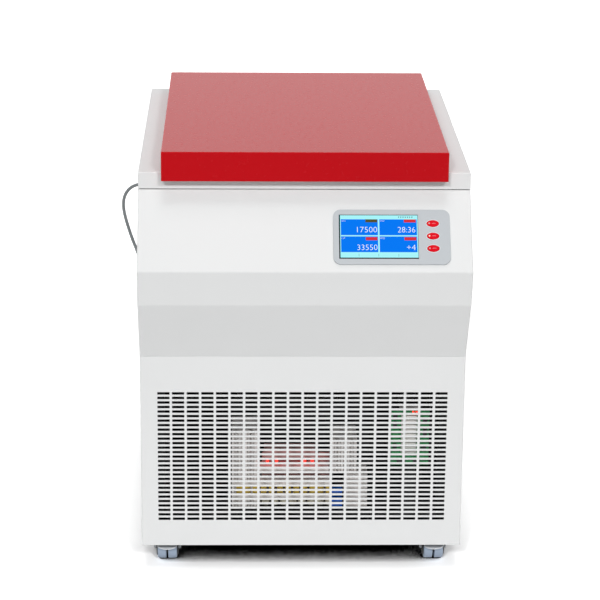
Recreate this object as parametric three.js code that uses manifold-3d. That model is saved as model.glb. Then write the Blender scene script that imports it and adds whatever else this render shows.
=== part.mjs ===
// A refrigerated floor-standing centrifuge with a hinged lid, in millimetres.
// X runs to the right, Y to the back and Z up.
// The origin is on the floor under the middle of the cabinet.

import * as THREE from "three";
import { mergeVertices } from "three/addons/utils/BufferGeometryUtils.js";
import Module from "manifold-3d";

const wasm = await Module();
wasm.setup();

// Driving sizes of the cabinet
const bodyWidth = 665;
const bodyDepth = 877;
const deckTop = 852.5;
const skirtBottom = 52;
const sheet = 2;
const seam = 0.3;
const runningGap = 0.6;
const overrun = 5;
const weldTolerance = 0.001;
const roundSides = 16;
const smallSides = 12;
const pinSides = 8;

const halfWidth = bodyWidth / 2;
const noseY = -bodyDepth / 2;
const rearY = bodyDepth / 2;

// Front: a nose under the sloping control face, then two facets back to the upright grille
const noseHeight = 677.5;
const deckDepth = 36;
const deckSeamHeight = deckTop - deckDepth;
const deckSetback = 110.5;
const breakHeight = 603;
const breakSetback = 18.5;
const grilleTop = 469;
const grilleSetback = 97.5;
const returnDepth = 41;
const rearWrap = 18;
const panelFlange = 18;
const deckWall = 2.5;
const deckShadowGap = 2;
const deckLip = 12;

const deckFaceY = noseY + deckSetback;
const breakY = noseY + breakSetback;
const grilleY = noseY + grilleSetback;
const sideSeamY = grilleY + returnDepth;
const deckUnder = deckTop - deckWall;

// Slots of the grille, in rows of long slots
const slotRows = 29;
const slotColumns = 10;
const slotSideMargin = 32.5;
const slotBar = 5;
const slotPitchX = (bodyWidth - 2 * slotSideMargin) / slotColumns;
const slotLength = slotPitchX - slotBar;
const slotHeight = 4.2;
const slotPitchZ = 9.9;
const topRowHeight = 388.7;

// Base plate, posts and motor deck
const frameBottom = 70;
const framePlate = 6;
const postSize = 30;
const postInset = 32.5;
const frontPostSetback = 73;
const rearPostSetback = 138.5;
const postX = halfWidth - postInset;
const frontPostY = grilleY + frontPostSetback;
const rearPostY = rearY - rearPostSetback;
const bossSize = 62;
const bossHeight = 6;
const motorDeckTop = 592;
const motorDeckPlate = 6;
const motorDeckMargin = 5;
const neckHoleRadius = 55;

const frameTop = frameBottom + framePlate;
const motorDeckUnder = motorDeckTop - motorDeckPlate;

// Chamber; its radius is worked out below from the room beside it and behind the lock
const chamberY = 10;
const chamberSideRoom = 120.5;
const chamberLockRoom = 56;
const bowlWall = 2;
const bowlCorner = 40;
const bowlFloor = 617;
const bowlRim = 22;
const spindleHole = 45;
const mouthClearance = 4;
const gasketInset = 10;
const gasketWidth = 16;
const gasketHeight = 6;
const jacketBottom = 660;
const jacketTop = 800;
const jacketThickness = 11;
const jacketRib = 4;
const jacketRibs = 4;
const insulationInset = 19;
const insulationThickness = 24;
const insulationTop = 840;
const insulationHole = 62;
const armourThickness = 10;
const chamberSides = 24;
const motorSides = 20;
const cornerSteps = 3;

// Lid
const lidSideMargin = 46.75;
const lidTop = 899.5;
const lidWall = 3;
const lidOverhang = 25;
const lidBackMargin = 40;
const apronDrop = 12.5;
const apronReturn = 18;
const lidClearance = 2.5;
const hingeDrop = 22;
const hingeInset = 20.5;
const rearSkirtDrop = 5;
const linerThickness = 12;
const linerInset = 68.5;
const liftPlate = 4;
const liftPlateSideInset = 35.75;
const liftPlateFrontInset = 48;
const liftPlateBackInset = 53.5;
const armReach = 40;
const armThickness = 8;
const lugRadius = 11;
const shaftRadius = 6;
const shaftOverhang = 6;
const bracketInset = 105.75;
const bracketPlate = 4;
const bracketHalfX = 22;
const bracketFront = 26;
const bracketBack = 16;
const earThickness = 8;
const lugGap = 0.5;
const notchClearance = 6;

const lidWidth = bodyWidth - 2 * lidSideMargin;
const lidFrontY = deckFaceY - lidOverhang;
const lidBackY = rearY - lidBackMargin;
const hingeY = lidBackY - hingeInset;
const linerBackY = lidBackY - linerInset;
const liftPlateHalfX = lidWidth / 2 - liftPlateSideInset;
const liftPlateFrontY = lidFrontY + liftPlateFrontInset;
const liftPlateBackY = lidBackY - liftPlateBackInset;
const armStartY = liftPlateBackY - armReach;
const bracketX = lidWidth / 2 - bracketInset;
const bracketFrontY = hingeY - bracketFront;
const bracketBackY = hingeY + bracketBack;
const apronBottom = deckTop - apronDrop;
const lidSkirtBottom = deckTop + lidClearance;
const hingeZ = lidTop - hingeDrop;
const linerBottom = deckTop + seam + gasketHeight + seam;
const linerTop = linerBottom + linerThickness;
const liftPlateBottom = linerTop + seam;
const liftPlateTop = liftPlateBottom + liftPlate;

// Lid lock: a striker plate under the lid and a hook in the unit below the deck
const slotSetback = 18;
const slotDepth = 47;
const deckSlotDepth = 28;
const strikerSetback = 14;
const hookSetback = 30;
const strikerHalfX = 15;
const strikerThickness = 6;
const strikerBottom = 812;
const strikerWindowHalfX = 9;
const strikerWindowBottom = 818;
const strikerWindowTop = 840;
const slotHalfX = 20;
const lockHalfX = 50;
const lockWall = 5;
const lockBottom = 790;
const lockCavityBottom = 798;
const hookPivotZ = 812;
const hookPinRadius = 3;
const hookHalfX = 6;
const hookArmHalf = 5;
const hookReach = 22;
const hookArmHeight = 21;
const hookBeak = 8;
const hookRelease = 35;

const slotFrontY = deckFaceY + slotSetback;
const slotBackY = slotFrontY + slotDepth;
const deckSlotBackY = slotFrontY + deckSlotDepth;
const strikerY = slotFrontY + strikerSetback;
const hookPivotY = slotFrontY + hookSetback;
const lockBackY = slotBackY + lockWall;
const bowlRadius = Math.min(chamberY - lockBackY - chamberLockRoom, halfWidth - chamberSideRoom);
const gasketInner = bowlRadius + gasketInset;
const insulationInner = bowlRadius + insulationInset;

// Drive: motor on rubber mounts, spindle and rotor
const motorBottom = 330;
const motorRadius = 88;
const motorChamfer = 8;
const motorFlangeRadius = 118;
const motorFlangeTop = 565;
const motorFlange = 12;
const motorNeckRadius = 38;
const motorNeckTop = 600;
const motorBoreBottom = 572;
const mountRadius = 16;
const mountCircle = 97;
const mountCount = 3;
const spindleRadius = 14;
const spindleBottom = 573;
const shoulderRadius = 22;
const shoulderHeight = 6;
const rotorBottom = 655;
const rotorTop = 752;
const rotorClearance = 40;
const rotorHubRadius = 60;
const rotorBellyInset = 22;
const rotorBellyRise = 5;
const rotorShoulder = 35;
const rotorEdge = 7;
const spindleShoulderTop = 745;
const studRadius = 6;
const studTop = 790;
const cavityCount = 6;
const drawnRotorRadius = 172;
const drawnCavityRadius = 24;
const drawnCavityDepth = 75;
const drawnCavityCircle = 105;
const cavityTilt = 25;
const rotorLidInset = 4;
const rotorLidRim = 4;
const rotorLidHeight = 18;
const rotorLidHub = 50;
const knobRadius = 25;
const knobLobe = 3;
const knobLobes = 6;
const knobPoints = 30;
const knobTop = 800;
const knobRoof = 8;

const rotorRadius = bowlRadius - rotorClearance;
const rotorBellyRadius = rotorRadius - rotorBellyInset;
const rotorLidRadius = rotorRadius - rotorLidInset;
const rotorScale = rotorRadius / drawnRotorRadius;
const cavityRadius = drawnCavityRadius * rotorScale;
const cavityDepth = drawnCavityDepth * rotorScale;
const cavityCircle = drawnCavityCircle * rotorScale;

// Casters: twin wheels on a swivel yoke
const wheelRadius = 25;
const wheelWidth = 18.5;
const wheelGap = 4;
const wheelEdge = 2.5;
const wheelHubRadius = 14;
const wheelDish = 2.5;
const axleRadius = 5;
const nutRadius = 6;
const nutLength = 4.6;
const casterInset = 51.5;
const frontCasterSetback = 78;
const rearCasterSetback = 98.5;
const casterTrail = 20;
const yokeWeb = 3;
const yokeClearance = 3;
const bridgeHeight = 7;
const raceRadius = 21;
const stemRadius = 5;
const stemLength = 11;
const wheelSides = 14;
const pedalGap = 6;
const pedalSheet = 2.5;
const pedalHalfX = 21;
const pedalLip = 8;
const pedalLowAngle = 20;
const pedalHighAngle = 52;
const pedalSteps = 5;
const pedalPinRadius = 2.5;
const pedalBarrelRadius = 4.6;
const pedalBarrelHalfX = 9;
const pedalEar = 3;

const casterX = halfWidth - casterInset;
const frontCasterY = grilleY + frontCasterSetback;
const rearCasterY = rearY - rearCasterSetback;

// Display and keys on the sloping face; X and the height up the slope from the nose line
const bezelWidth = 233;
const bezelHeight = 119.6;
const bezelInset = 159.9;
const bezelRise = 75.1;
const bezelCorner = 15;
const bezelThickness = 4;
const screenWidth = 157;
const screenHeight = 94;
const screenOffset = 26.6;
const screenRise = 75;
const screenDepth = 12;
const screenRecess = 0.8;
const keyOffset = 81.4;
const keyRises = [103.2, 76.4, 49.8];
const keyWidth = 24.6;
const keyHeight = 14.4;
const keyGap = 0.4;
const keyDepth = 6;
const keyProud = 1.5;
const windowMargin = 4;

const bezelX = halfWidth - bezelInset;
const screenX = bezelX - screenOffset;
const keyX = bezelX + keyOffset;

// Refrigeration and electronics
const compressorInset = 162.5;
const compressorSetback = 203.5;
const compressorRadius = 72;
const compressorTop = 266;
const compressorDome = 34;
const compressorFoot = 76;
const compressorFootPlate = 6;
const portRadius = 10;
const portHeight = 6;
const condenserInset = 82.5;
const condenserWidth = 280;
const condenserSetback = 93.5;
const condenserDepth = 50;
const condenserTop = 380;
const condenserCore = 12;
const condenserFins = 18;
const finThickness = 5;
const shroudStandoff = 31;
const shroudPlate = 10;
const fanRadius = 98;
const fanClearance = 6;
const fanHubRadius = 26;
const fanHubReach = 20;
const fanHubLength = 26;
const fanBlades = 5;
const bladeThickness = 2.5;
const bladeChord = 46;
const bladePitch = 24;
const fanPinRadius = 5;
const fanPinReach = 12;
const fanBarHalf = 9;
const fanBar = 5;
const suctionRadius = 6;
const liquidRadius = 5;
const lineAngle = 62;
const lineInset = 9;
const lineHoleGap = 2;
const lineBend = 30;
const lineDrop = 160;
const suctionTurnRise = 134;
const drierRadius = 16;
const drierBottom = 470;
const drierTop = 560;
const drierCone = 12;
const converterLeft = -149;
const converterRight = 145;
const converterSetback = 29;
const converterDepth = 122;
const converterBottom = 120;
const converterTop = 320;
const converterTray = 8;
const converterLeg = 14;
const converterFins = 14;
const converterFinDepth = 42;
const boardInset = 69.5;
const boardWidth = 79;
const boardSetback = 16;
const boardThickness = 3;
const boardBottom = 225;
const boardTop = 349;
const relayInset = 18;
const relayWidth = 43;
const relayBottom = 250;
const relayTop = 345;
const relayDepth = 30;
const boardLegHalf = 12;
const boardFoot = 32;

const compressorX = halfWidth - compressorInset;
const compressorY = rearY - compressorSetback;
const condenserLeft = condenserInset - halfWidth;
const condenserRight = condenserLeft + condenserWidth;
const condenserFrontY = rearY - condenserSetback;
const shroudY = condenserFrontY - shroudStandoff;
const fanHubFrontY = shroudY - fanHubReach;
const fanPinFrontY = shroudY - fanPinReach;
const lineCircle = bowlRadius + lineInset;
const lineDropHeight = jacketBottom - lineDrop;
const suctionTurnHeight = compressorTop + suctionTurnRise;
const liquidTurnHeight = (condenserTop + drierBottom) / 2;
const converterFrontY = grilleY + converterSetback;
const converterBackY = converterFrontY + converterDepth;
const boardRight = halfWidth - boardInset;
const boardLeft = boardRight - boardWidth;
const boardY = grilleY + boardSetback;
const relayLeft = boardLeft + relayInset;
const relayRight = relayLeft + relayWidth;

// Back: vents, mains switch and cord
const ventRows = 10;
const ventLengthShare = 0.36;
const ventHeight = 8;
const ventPitch = 26;
const ventBottom = 120;
const switchInset = 82.5;
const switchZ = 180;
const switchHalfX = 16;
const switchHalfZ = 22;
const switchFlange = 2.5;
const switchWall = 2;
const switchDepth = 30;
const rockerHalfX = 9.7;
const rockerHalfZ = 15.5;
const rockerDepth = 6;
const rockerDip = 3.2;
const rockerEnd = 5;
const rockerTaper = 2.5;
const rockerRoom = 17.2;
const rockerSetback = 1;
const rockerTilt = 10;

const glandInset = 32.5;
const glandZ = 604;
const glandNut = 8;
const glandNutRadius = 15;
const glandShank = 14;
const glandShankRadius = 10;
const glandTaper = 26;
const glandEndRadius = 6;
const cordDiameter = 8;
const cordSides = 8;
const cordSteps = 40;
const coilX = -200;
const coilMeanRadius = 44;
const coilLoops = 3;
const coilGap = 0.8;
const coilLift = 1.5;
const coilStepsPerLoop = 24;
const coilSides = 6;
const coilTail = 24;
const coilFrontY = 500;
const coilEndX = -208;
const tieWidth = 14;
const tieThickness = 1.1;
const plugBoot = 25;
const plugBootRadius = 5.2;
const plugBodyLength = 42;
const plugHalfWidth = 17;
const plugCorner = 6;
const pinRadius = 2.4;
const pinLength = 19;
const pinSpacing = 19;

const switchX = halfWidth - switchInset;
const glandX = glandInset - halfWidth;
const cordRadius = cordDiameter / 2;
const coilPitch = cordDiameter + coilGap;
const coilBaseZ = cordRadius + coilLift;
const coilInnerRadius = coilMeanRadius - (coilLoops * coilPitch) / 2;
const coilOuterRadius = coilInnerRadius + coilLoops * coilPitch;
const coilY = coilFrontY + coilOuterRadius;
const cordStartY = rearY + seam + glandNut + glandTaper + seam;

// The free cord, from the gland round the left edge of the cabinet down to the floor behind it
const cordRoute = [
  [glandX, cordStartY, glandZ],
  [-300, 484, 604],
  [-303, 497, 604.5],
  [-313, 510, 605],
  [-329, 518, 605],
  [-348, 520, 604.5],
  [-369.3, 520, 602],
  [-386, 520, 595],
  [-397.5, 520, 582.5],
  [-403.6, 520, 567],
  [-405, 520, 553],
  [-403.8, 520, 537],
  [-399.5, 520, 516.6],
  [-393.4, 520, 494.7],
  [-385.4, 520, 469.4],
  [-375, 520, 440.8],
  [-364, 520, 405],
  [-352, 520, 350],
  [-343, 521, 290],
  [-336, 521.5, 225],
  [-330, 521.5, 165],
  [-323, 520.5, 110],
  [-314, 518.5, 66],
  [-300, 514.5, 32],
  [-281, 509.5, 13.5],
  [-260, 504.5, 6.6],
  [-238, 501, coilBaseZ],
  [-222, coilFrontY, coilBaseZ],
  [coilEndX - seam, coilFrontY, coilBaseZ],
];

// Finishes, one for each kind of surface
function finish(colour, roughness, metalness) {
  return new THREE.MeshStandardMaterial({ color: colour, roughness, metalness });
}

const whiteEnamel = finish("#e2e4e8", 0.45, 0);
const redEnamel = finish("#b31a1f", 0.3, 0);
const greyPlastic = finish("#c9ced3", 0.5, 0);
const darkPlastic = finish("#24272b", 0.5, 0);
const redKey = finish("#c4202a", 0.4, 0);
const screenGlass = finish("#1a78e0", 0.2, 0);
const stainless = finish("#b9bcc0", 0.3, 1);
const zincSteel = finish("#a9adb2", 0.4, 1);
const copper = finish("#b5744a", 0.35, 1);
const aluminium = finish("#c3c6ca", 0.35, 1);
const blackRubber = finish("#1d1e20", 0.8, 0);
const greyRubber = finish("#94a3b3", 0.7, 0);
const foam = finish("#d8cfa8", 0.9, 0);
const blackPaint = finish("#2b2d30", 0.5, 0);
const greenBoard = finish("#2e7d4f", 0.5, 0);
const cordGrey = finish("#82888c", 0.6, 0);

// Solids
function solid(geometry) {
  const bare = geometry.clone();
  bare.deleteAttribute("normal");
  bare.deleteAttribute("uv");
  const merged = mergeVertices(bare, weldTolerance);
  const corners = merged.index.array;
  const kept = [];
  for (let i = 0; i < corners.length; i += 3) {
    const [a, b, c] = [corners[i], corners[i + 1], corners[i + 2]];
    if (a !== b && b !== c && c !== a) kept.push([a, b, c]);
  }
  const build = (faces) =>
    new wasm.Manifold(
      new wasm.Mesh({
        numProp: 3,
        vertProperties: merged.attributes.position.array,
        triVerts: new Uint32Array(faces.flat()),
      }),
    );
  const made = build(kept);
  return made.volume() < 0 ? build(kept.map(([a, b, c]) => [a, c, b])) : made;
}

function join(...solids) {
  return solids.reduce((whole, next) => whole.add(next));
}

function cut(whole, ...cutters) {
  return cutters.reduce((left, next) => left.subtract(next), whole);
}

function block([x0, x1], [y0, y1], [z0, z1]) {
  const geometry = new THREE.BoxGeometry(x1 - x0, y1 - y0, z1 - z0);
  geometry.translate((x0 + x1) / 2, (y0 + y1) / 2, (z0 + z1) / 2);
  return solid(geometry);
}

const unit = {
  x: new THREE.Vector3(1, 0, 0),
  y: new THREE.Vector3(0, 1, 0),
  z: new THREE.Vector3(0, 0, 1),
};
// Outlines are (y, z) along x, (x, z) along y and (x, y) along z.
const extrusionFrames = {
  x: new THREE.Matrix4().makeBasis(unit.y, unit.z, unit.x),
  y: new THREE.Matrix4().makeBasis(unit.x, unit.z, unit.y),
  z: new THREE.Matrix4(),
};

function prismGeometry(outline, axis, [from, to], holes = []) {
  const toPoints = (points) => points.map(([u, v]) => new THREE.Vector2(u, v));
  const shape = new THREE.Shape(toPoints(outline));
  shape.holes = holes.map((hole) => new THREE.Path(toPoints(hole)));
  const geometry = new THREE.ExtrudeGeometry(shape, { depth: to - from, bevelEnabled: false });
  geometry.translate(0, 0, from);
  geometry.applyMatrix4(extrusionFrames[axis]);
  return geometry;
}

function prism(outline, axis, range, holes) {
  return solid(prismGeometry(outline, axis, range, holes));
}

function arc([u, v], radius, fromDegrees, toDegrees, steps) {
  const points = [];
  for (let i = 0; i <= steps; i += 1) {
    const angle = THREE.MathUtils.degToRad(fromDegrees + ((toDegrees - fromDegrees) * i) / steps);
    points.push([u + radius * Math.cos(angle), v + radius * Math.sin(angle)]);
  }
  return points;
}

function circle(centre, radius, sides) {
  return arc(centre, radius, 0, 360, sides).slice(0, -1);
}

// A bore whose flats, and not only its corners, clear a round pin
function boreRadius(pin, clearance, sides) {
  return (pin + clearance) / Math.cos(Math.PI / sides);
}

// Two places in rising order
function span(a, b) {
  return [Math.min(a, b), Math.max(a, b)];
}

function rectangle([u0, u1], [v0, v1]) {
  return [
    [u0, v0],
    [u1, v0],
    [u1, v1],
    [u0, v1],
  ];
}

function roundedRectangle([u, v], width, height, corner, steps) {
  const right = u + width / 2 - corner;
  const left = u - width / 2 + corner;
  const top = v + height / 2 - corner;
  const bottom = v - height / 2 + corner;
  return [
    ...arc([right, bottom], corner, -90, 0, steps),
    ...arc([right, top], corner, 0, 90, steps),
    ...arc([left, top], corner, 90, 180, steps),
    ...arc([left, bottom], corner, 180, 270, steps),
  ];
}

function cylinder(axis, centre, radius, range, sides = roundSides) {
  return prism(circle(centre, radius, sides), axis, range);
}

// A profile of (radius, height) points turned about an upright axis through (x, y)
function turned(profile, sides, [x, y] = [0, 0]) {
  const points = profile.map(([r, h]) => new THREE.Vector2(r, h));
  const geometry = new THREE.LatheGeometry(points, sides);
  geometry.rotateX(Math.PI / 2);
  geometry.translate(x, y, 0);
  return solid(geometry);
}

function turnedRing(profile, sides, centre) {
  return turned([...profile, profile[0]], sides, centre);
}

// A pipe through corner points, with a bend of one radius at each corner
function bentPipe(points, radius, bend, sides, steps) {
  const path = new THREE.CurvePath();
  const corners = points.map((p) => new THREE.Vector3(...p));
  let from = corners[0];
  for (let i = 1; i < corners.length - 1; i += 1) {
    const before = corners[i].clone().sub(corners[i - 1]);
    const after = corners[i + 1].clone().sub(corners[i]);
    const reach = Math.min(bend, before.length() / 2, after.length() / 2);
    const start = corners[i].clone().sub(before.setLength(reach));
    const end = corners[i].clone().add(after.setLength(reach));
    path.add(new THREE.LineCurve3(from, start));
    path.add(new THREE.QuadraticBezierCurve3(start, corners[i], end));
    from = end;
  }
  path.add(new THREE.LineCurve3(from, corners[corners.length - 1]));
  return pipeAlong(path, radius, sides, steps);
}

function pipeAlong(path, radius, sides, steps) {
  const section = new THREE.Shape(circle([0, 0], radius, sides).map((p) => new THREE.Vector2(...p)));
  return solid(new THREE.ExtrudeGeometry(section, { steps, bevelEnabled: false, extrudePath: path }));
}

const part = new THREE.Group();

function addPiece(name, made, material, group = part) {
  const { vertProperties, triVerts } = made.getMesh();
  const indexed = new THREE.BufferGeometry();
  indexed.setAttribute("position", new THREE.BufferAttribute(vertProperties, 3));
  indexed.setIndex(new THREE.BufferAttribute(triVerts, 1));
  const geometry = indexed.toNonIndexed();
  geometry.computeVertexNormals();
  const mesh = new THREE.Mesh(geometry, material);
  mesh.name = name;
  group.add(mesh);
}

// The fold line moved inwards by a wall, from the first corner to the last
function insetFolds(folds, wall) {
  const lines = folds.slice(1).map(([u, v], i) => {
    const [u0, v0] = folds[i];
    const length = Math.hypot(u - u0, v - v0);
    const normal = [-(v - v0) / length, (u - u0) / length];
    return { point: [u0 + normal[0] * wall, v0 + normal[1] * wall], along: [u - u0, v - v0] };
  });
  return lines.slice(1).map((line, i) => {
    const other = lines[i];
    const cross = other.along[0] * line.along[1] - other.along[1] * line.along[0];
    const du = line.point[0] - other.point[0];
    const dv = line.point[1] - other.point[1];
    const t = (du * line.along[1] - dv * line.along[0]) / cross;
    return [other.point[0] + other.along[0] * t, other.point[1] + other.along[1] * t];
  });
}

// Cabinet shells
function buildFascia() {
  const folds = [
    [deckFaceY, deckSeamHeight],
    [noseY, noseHeight],
    [breakY, breakHeight],
    [grilleY, grilleTop],
  ];
  const behind = sideSeamY;
  const closed = prism(
    [...folds, [behind, grilleTop], [behind, deckSeamHeight]],
    "x",
    [-halfWidth, halfWidth],
  );
  const roof = deckSeamHeight - sheet;
  const extended = [
    [deckFaceY + deckSetback, deckSeamHeight + (deckSeamHeight - noseHeight)],
    ...folds.slice(1, -1),
    [grilleY + (grilleY - breakY), grilleTop - (breakHeight - grilleTop)],
  ];
  const inset = insetFolds(extended, sheet);
  const slope = (deckSeamHeight - noseHeight) / deckSetback;
  const lowSlope = (breakHeight - grilleTop) / (grilleY - breakY);
  const floor = grilleTop - overrun;
  const hollow = prism(
    [
      [inset[0][0] + (roof - inset[0][1]) / slope, roof],
      ...inset,
      [inset[1][0] + (inset[1][1] - floor) / lowSlope, floor],
      [behind + overrun, floor],
      [behind + overrun, roof],
    ],
    "x",
    [sheet - halfWidth, halfWidth - sheet],
  );
  const lipHalf = halfWidth - deckWall - 2 * seam;
  const lipY = deckFaceY + deckWall + seam;
  const lipTop = deckSeamHeight + deckShadowGap + deckLip;
  const lip = block([-lipHalf, lipHalf], [lipY, lipY + sheet], [roof, lipTop]);
  const window = prism(
    rectangle(
      [screenX - screenWidth / 2 - windowMargin, keyX + keyWidth / 2 + windowMargin],
      [screenRise - screenHeight / 2 - windowMargin, screenRise + screenHeight / 2 + windowMargin],
    ),
    "z",
    [-screenDepth, overrun],
  );
  const lockRoom = block(
    [-lockHalfX - runningGap, lockHalfX + runningGap],
    [slotFrontY - lockWall - runningGap, behind + overrun],
    [roof - overrun, deckSeamHeight + overrun],
  );
  return cut(join(cut(closed, hollow), lip), lockRoom, window.transform(controlFace.matrix.toArray()));
}

const faceAngle = Math.atan2(deckSeamHeight - noseHeight, deckSetback);
const controlFace = new THREE.Group();
controlFace.rotation.x = faceAngle;
controlFace.position.set(0, noseY, noseHeight);
controlFace.updateMatrix();
part.add(controlFace);

// The slotted sheet and its two side returns are one folded skin, meshed on the lines of the slots.
function buildGrille() {
  const top = grilleTop - seam;
  const front = grilleY;
  const behind = grilleY + sheet;
  const lines = (count, pitch, start, size) =>
    Array.from({ length: count }, (_, i) => start + i * pitch)
      .flatMap((at) => [at - size / 2, at + size / 2]);
  const xs = lines(slotColumns, slotPitchX, (-slotPitchX * (slotColumns - 1)) / 2, slotLength);
  const zs = lines(slotRows, slotPitchZ, topRowHeight - slotPitchZ * (slotRows - 1), slotHeight);
  const isSlot = (i, j) => i % 2 === 0 && j % 2 === 0;
  const positions = [];
  const fan = (points, flipped = false) => {
    for (let k = 1; k + 1 < points.length; k += 1) {
      const [p, q] = flipped ? [points[k + 1], points[k]] : [points[k], points[k + 1]];
      positions.push(...points[0], ...p, ...q);
    }
  };
  for (const [y, half, flipped] of [[front, halfWidth, false], [behind, halfWidth - sheet, true]]) {
    const face = (points) => fan(points.map(([x, z]) => [x, y, z]), flipped);
    for (let i = 0; i + 1 < xs.length; i += 1) {
      for (let j = 0; j + 1 < zs.length; j += 1) {
        if (!isSlot(i, j)) face(rectangle([xs[i], xs[i + 1]], [zs[j], zs[j + 1]]));
      }
    }
    const [left, right] = [xs[0], xs[xs.length - 1]];
    const [low, high] = [zs[0], zs[zs.length - 1]];
    face([[-half, skirtBottom], ...zs.map((z) => [left, z]), [-half, top]]);
    face([[half, top], ...zs.map((z) => [right, z]).reverse(), [half, skirtBottom]]);
    face([[-half, top], ...xs.map((x) => [x, high]), [half, top]]);
    face([[half, skirtBottom], ...xs.map((x) => [x, low]).reverse(), [-half, skirtBottom]]);
  }
  for (let i = 0; i < xs.length; i += 2) {
    for (let j = 0; j < zs.length; j += 2) {
      const [x0, x1, z0, z1] = [xs[i], xs[i + 1], zs[j], zs[j + 1]];
      const around = [[x0, z0], [x0, z1], [x1, z1], [x1, z0]];
      around.forEach(([x, z], k) => {
        const [u, w] = around[(k + 1) % around.length];
        fan([[x, front, z], [x, behind, z], [u, behind, w], [u, front, w]]);
      });
    }
  }
  // Plan of the folded skin, as a run of quads from the left return round to the right one
  const corners = (half, y) => [[-half, sideSeamY], [-half, y], [half, y], [half, sideSeamY]];
  const outer = corners(halfWidth, front);
  const inner = corners(halfWidth - sheet, behind);
  const at = ([x, y], z) => [x, y, z];
  const upright = (p, q) => [at(p, skirtBottom), at(q, skirtBottom), at(q, top), at(p, top)];
  for (let k = 0; k + 1 < outer.length; k += 1) {
    const rim = [outer[k], outer[k + 1], inner[k + 1], inner[k]];
    fan(rim.map((p) => at(p, top)));
    fan(rim.map((p) => at(p, skirtBottom)), true);
    if (k === 1) continue;
    fan(upright(outer[k], outer[k + 1]));
    fan(upright(inner[k], inner[k + 1]), true);
  }
  const last = outer.length - 1;
  fan(upright(inner[0], outer[0]));
  fan(upright(inner[last], outer[last]), true);
  const geometry = new THREE.BufferGeometry();
  geometry.setAttribute("position", new THREE.Float32BufferAttribute(positions, 3));
  return solid(geometry);
}

function buildSidePanel(side) {
  const outer = side * halfWidth;
  const skin = side * (halfWidth - sheet);
  const inner = side * (halfWidth - panelFlange);
  const past = side * (halfWidth - panelFlange - overrun);
  const front = sideSeamY + seam;
  const back = rearY - rearWrap - seam;
  const low = skirtBottom - overrun;
  return cut(
    block(span(outer, inner), [front, back], [skirtBottom, deckSeamHeight]),
    block(span(skin, past), [front + sheet, back - sheet], [low, deckSeamHeight - sheet]),
    block(span(skin, past), [front - overrun, back + overrun], [low, frameTop + seam]),
  );
}

function buildRearPanel() {
  const outer = block([-halfWidth, halfWidth], [rearY - rearWrap, rearY], [skirtBottom, deckSeamHeight]);
  const hollow = block(
    [sheet - halfWidth, halfWidth - sheet],
    [rearY - rearWrap - overrun, rearY - sheet],
    [skirtBottom - overrun, deckSeamHeight - sheet],
  );
  const ventLeft = condenserLeft;
  const ventRight = condenserRight;
  const ventLength = (ventRight - ventLeft) * ventLengthShare;
  const vents = [];
  for (let row = 0; row < ventRows; row += 1) {
    for (const share of [1 / 4, 3 / 4]) {
      const x = ventLeft + (ventRight - ventLeft) * share;
      const z = ventBottom + row * ventPitch;
      vents.push(
        block(
          [x - ventLength / 2, x + ventLength / 2],
          [rearY - sheet - overrun, rearY + overrun],
          [z - ventHeight / 2, z + ventHeight / 2],
        ),
      );
    }
  }
  const wall = [rearY - sheet - overrun, rearY + overrun];
  const glandHole = cylinder("y", [glandX, glandZ], glandShankRadius + runningGap, wall, smallSides);
  const switchHole = prism(
    rectangle(
      [switchX - switchHalfX + switchFlange - seam, switchX + switchHalfX - switchFlange + seam],
      [switchZ - switchHalfZ + switchFlange - seam, switchZ + switchHalfZ - switchFlange + seam],
    ),
    "y",
    wall,
  );
  return cut(outer, hollow, ...vents, glandHole, switchHole);
}

function buildDeck() {
  const bottom = deckSeamHeight + deckShadowGap;
  const outer = block([-halfWidth, halfWidth], [deckFaceY, rearY], [bottom, deckTop]);
  const hollow = block(
    [deckWall - halfWidth, halfWidth - deckWall],
    [deckFaceY + deckWall, rearY - deckWall],
    [bottom - overrun, deckUnder],
  );
  const past = [deckUnder - overrun, deckTop + overrun];
  const mouth = cylinder("z", [0, chamberY], bowlRadius + mouthClearance, past, chamberSides);
  const strikerSlot = block([-slotHalfX, slotHalfX], [slotFrontY, deckSlotBackY], past);
  return cut(outer, hollow, mouth, strikerSlot);
}

// Frame inside the cabinet
function forEachCaster(visit) {
  for (const [side, sideName] of [[-1, "left"], [1, "right"]]) {
    for (const [end, endName] of [[-1, "front"], [1, "rear"]]) {
      const y = end < 0 ? frontCasterY : rearCasterY;
      visit({ name: endName + "_" + sideName, x: side * casterX, y, end });
    }
  }
}

function buildBaseFrame() {
  const reach = halfWidth - sheet - seam;
  const front = grilleY + sheet + seam;
  const back = rearY - sheet - seam;
  let frame = block([-reach, reach], [front, back], [frameBottom, frameTop]);
  for (const x of [-postX, postX]) {
    for (const y of [frontPostY, rearPostY]) {
      const post = block(
        [x - postSize / 2, x + postSize / 2],
        [y - postSize / 2, y + postSize / 2],
        [frameBottom, motorDeckUnder - seam],
      );
      frame = join(frame, post);
    }
  }
  forEachCaster(({ x, y }) => {
    const boss = block(
      [x - bossSize / 2, x + bossSize / 2],
      [y - bossSize / 2, y + bossSize / 2],
      [frameBottom, frameTop + bossHeight],
    );
    frame = join(frame, boss);
  });
  forEachCaster(({ x, y }) => {
    const bore = boreRadius(stemRadius, runningGap, pinSides);
    const range = [frameBottom - overrun, frameTop + bossHeight + overrun];
    frame = cut(frame, cylinder("z", [x, y], bore, range, pinSides));
  });
  return frame;
}

function linePlace(side) {
  const angle = THREE.MathUtils.degToRad(lineAngle);
  return [side * lineCircle * Math.cos(angle), chamberY + lineCircle * Math.sin(angle)];
}

function lineHole(side, radius, range) {
  return cylinder("z", linePlace(side), radius + lineHoleGap, range, smallSides);
}

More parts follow.
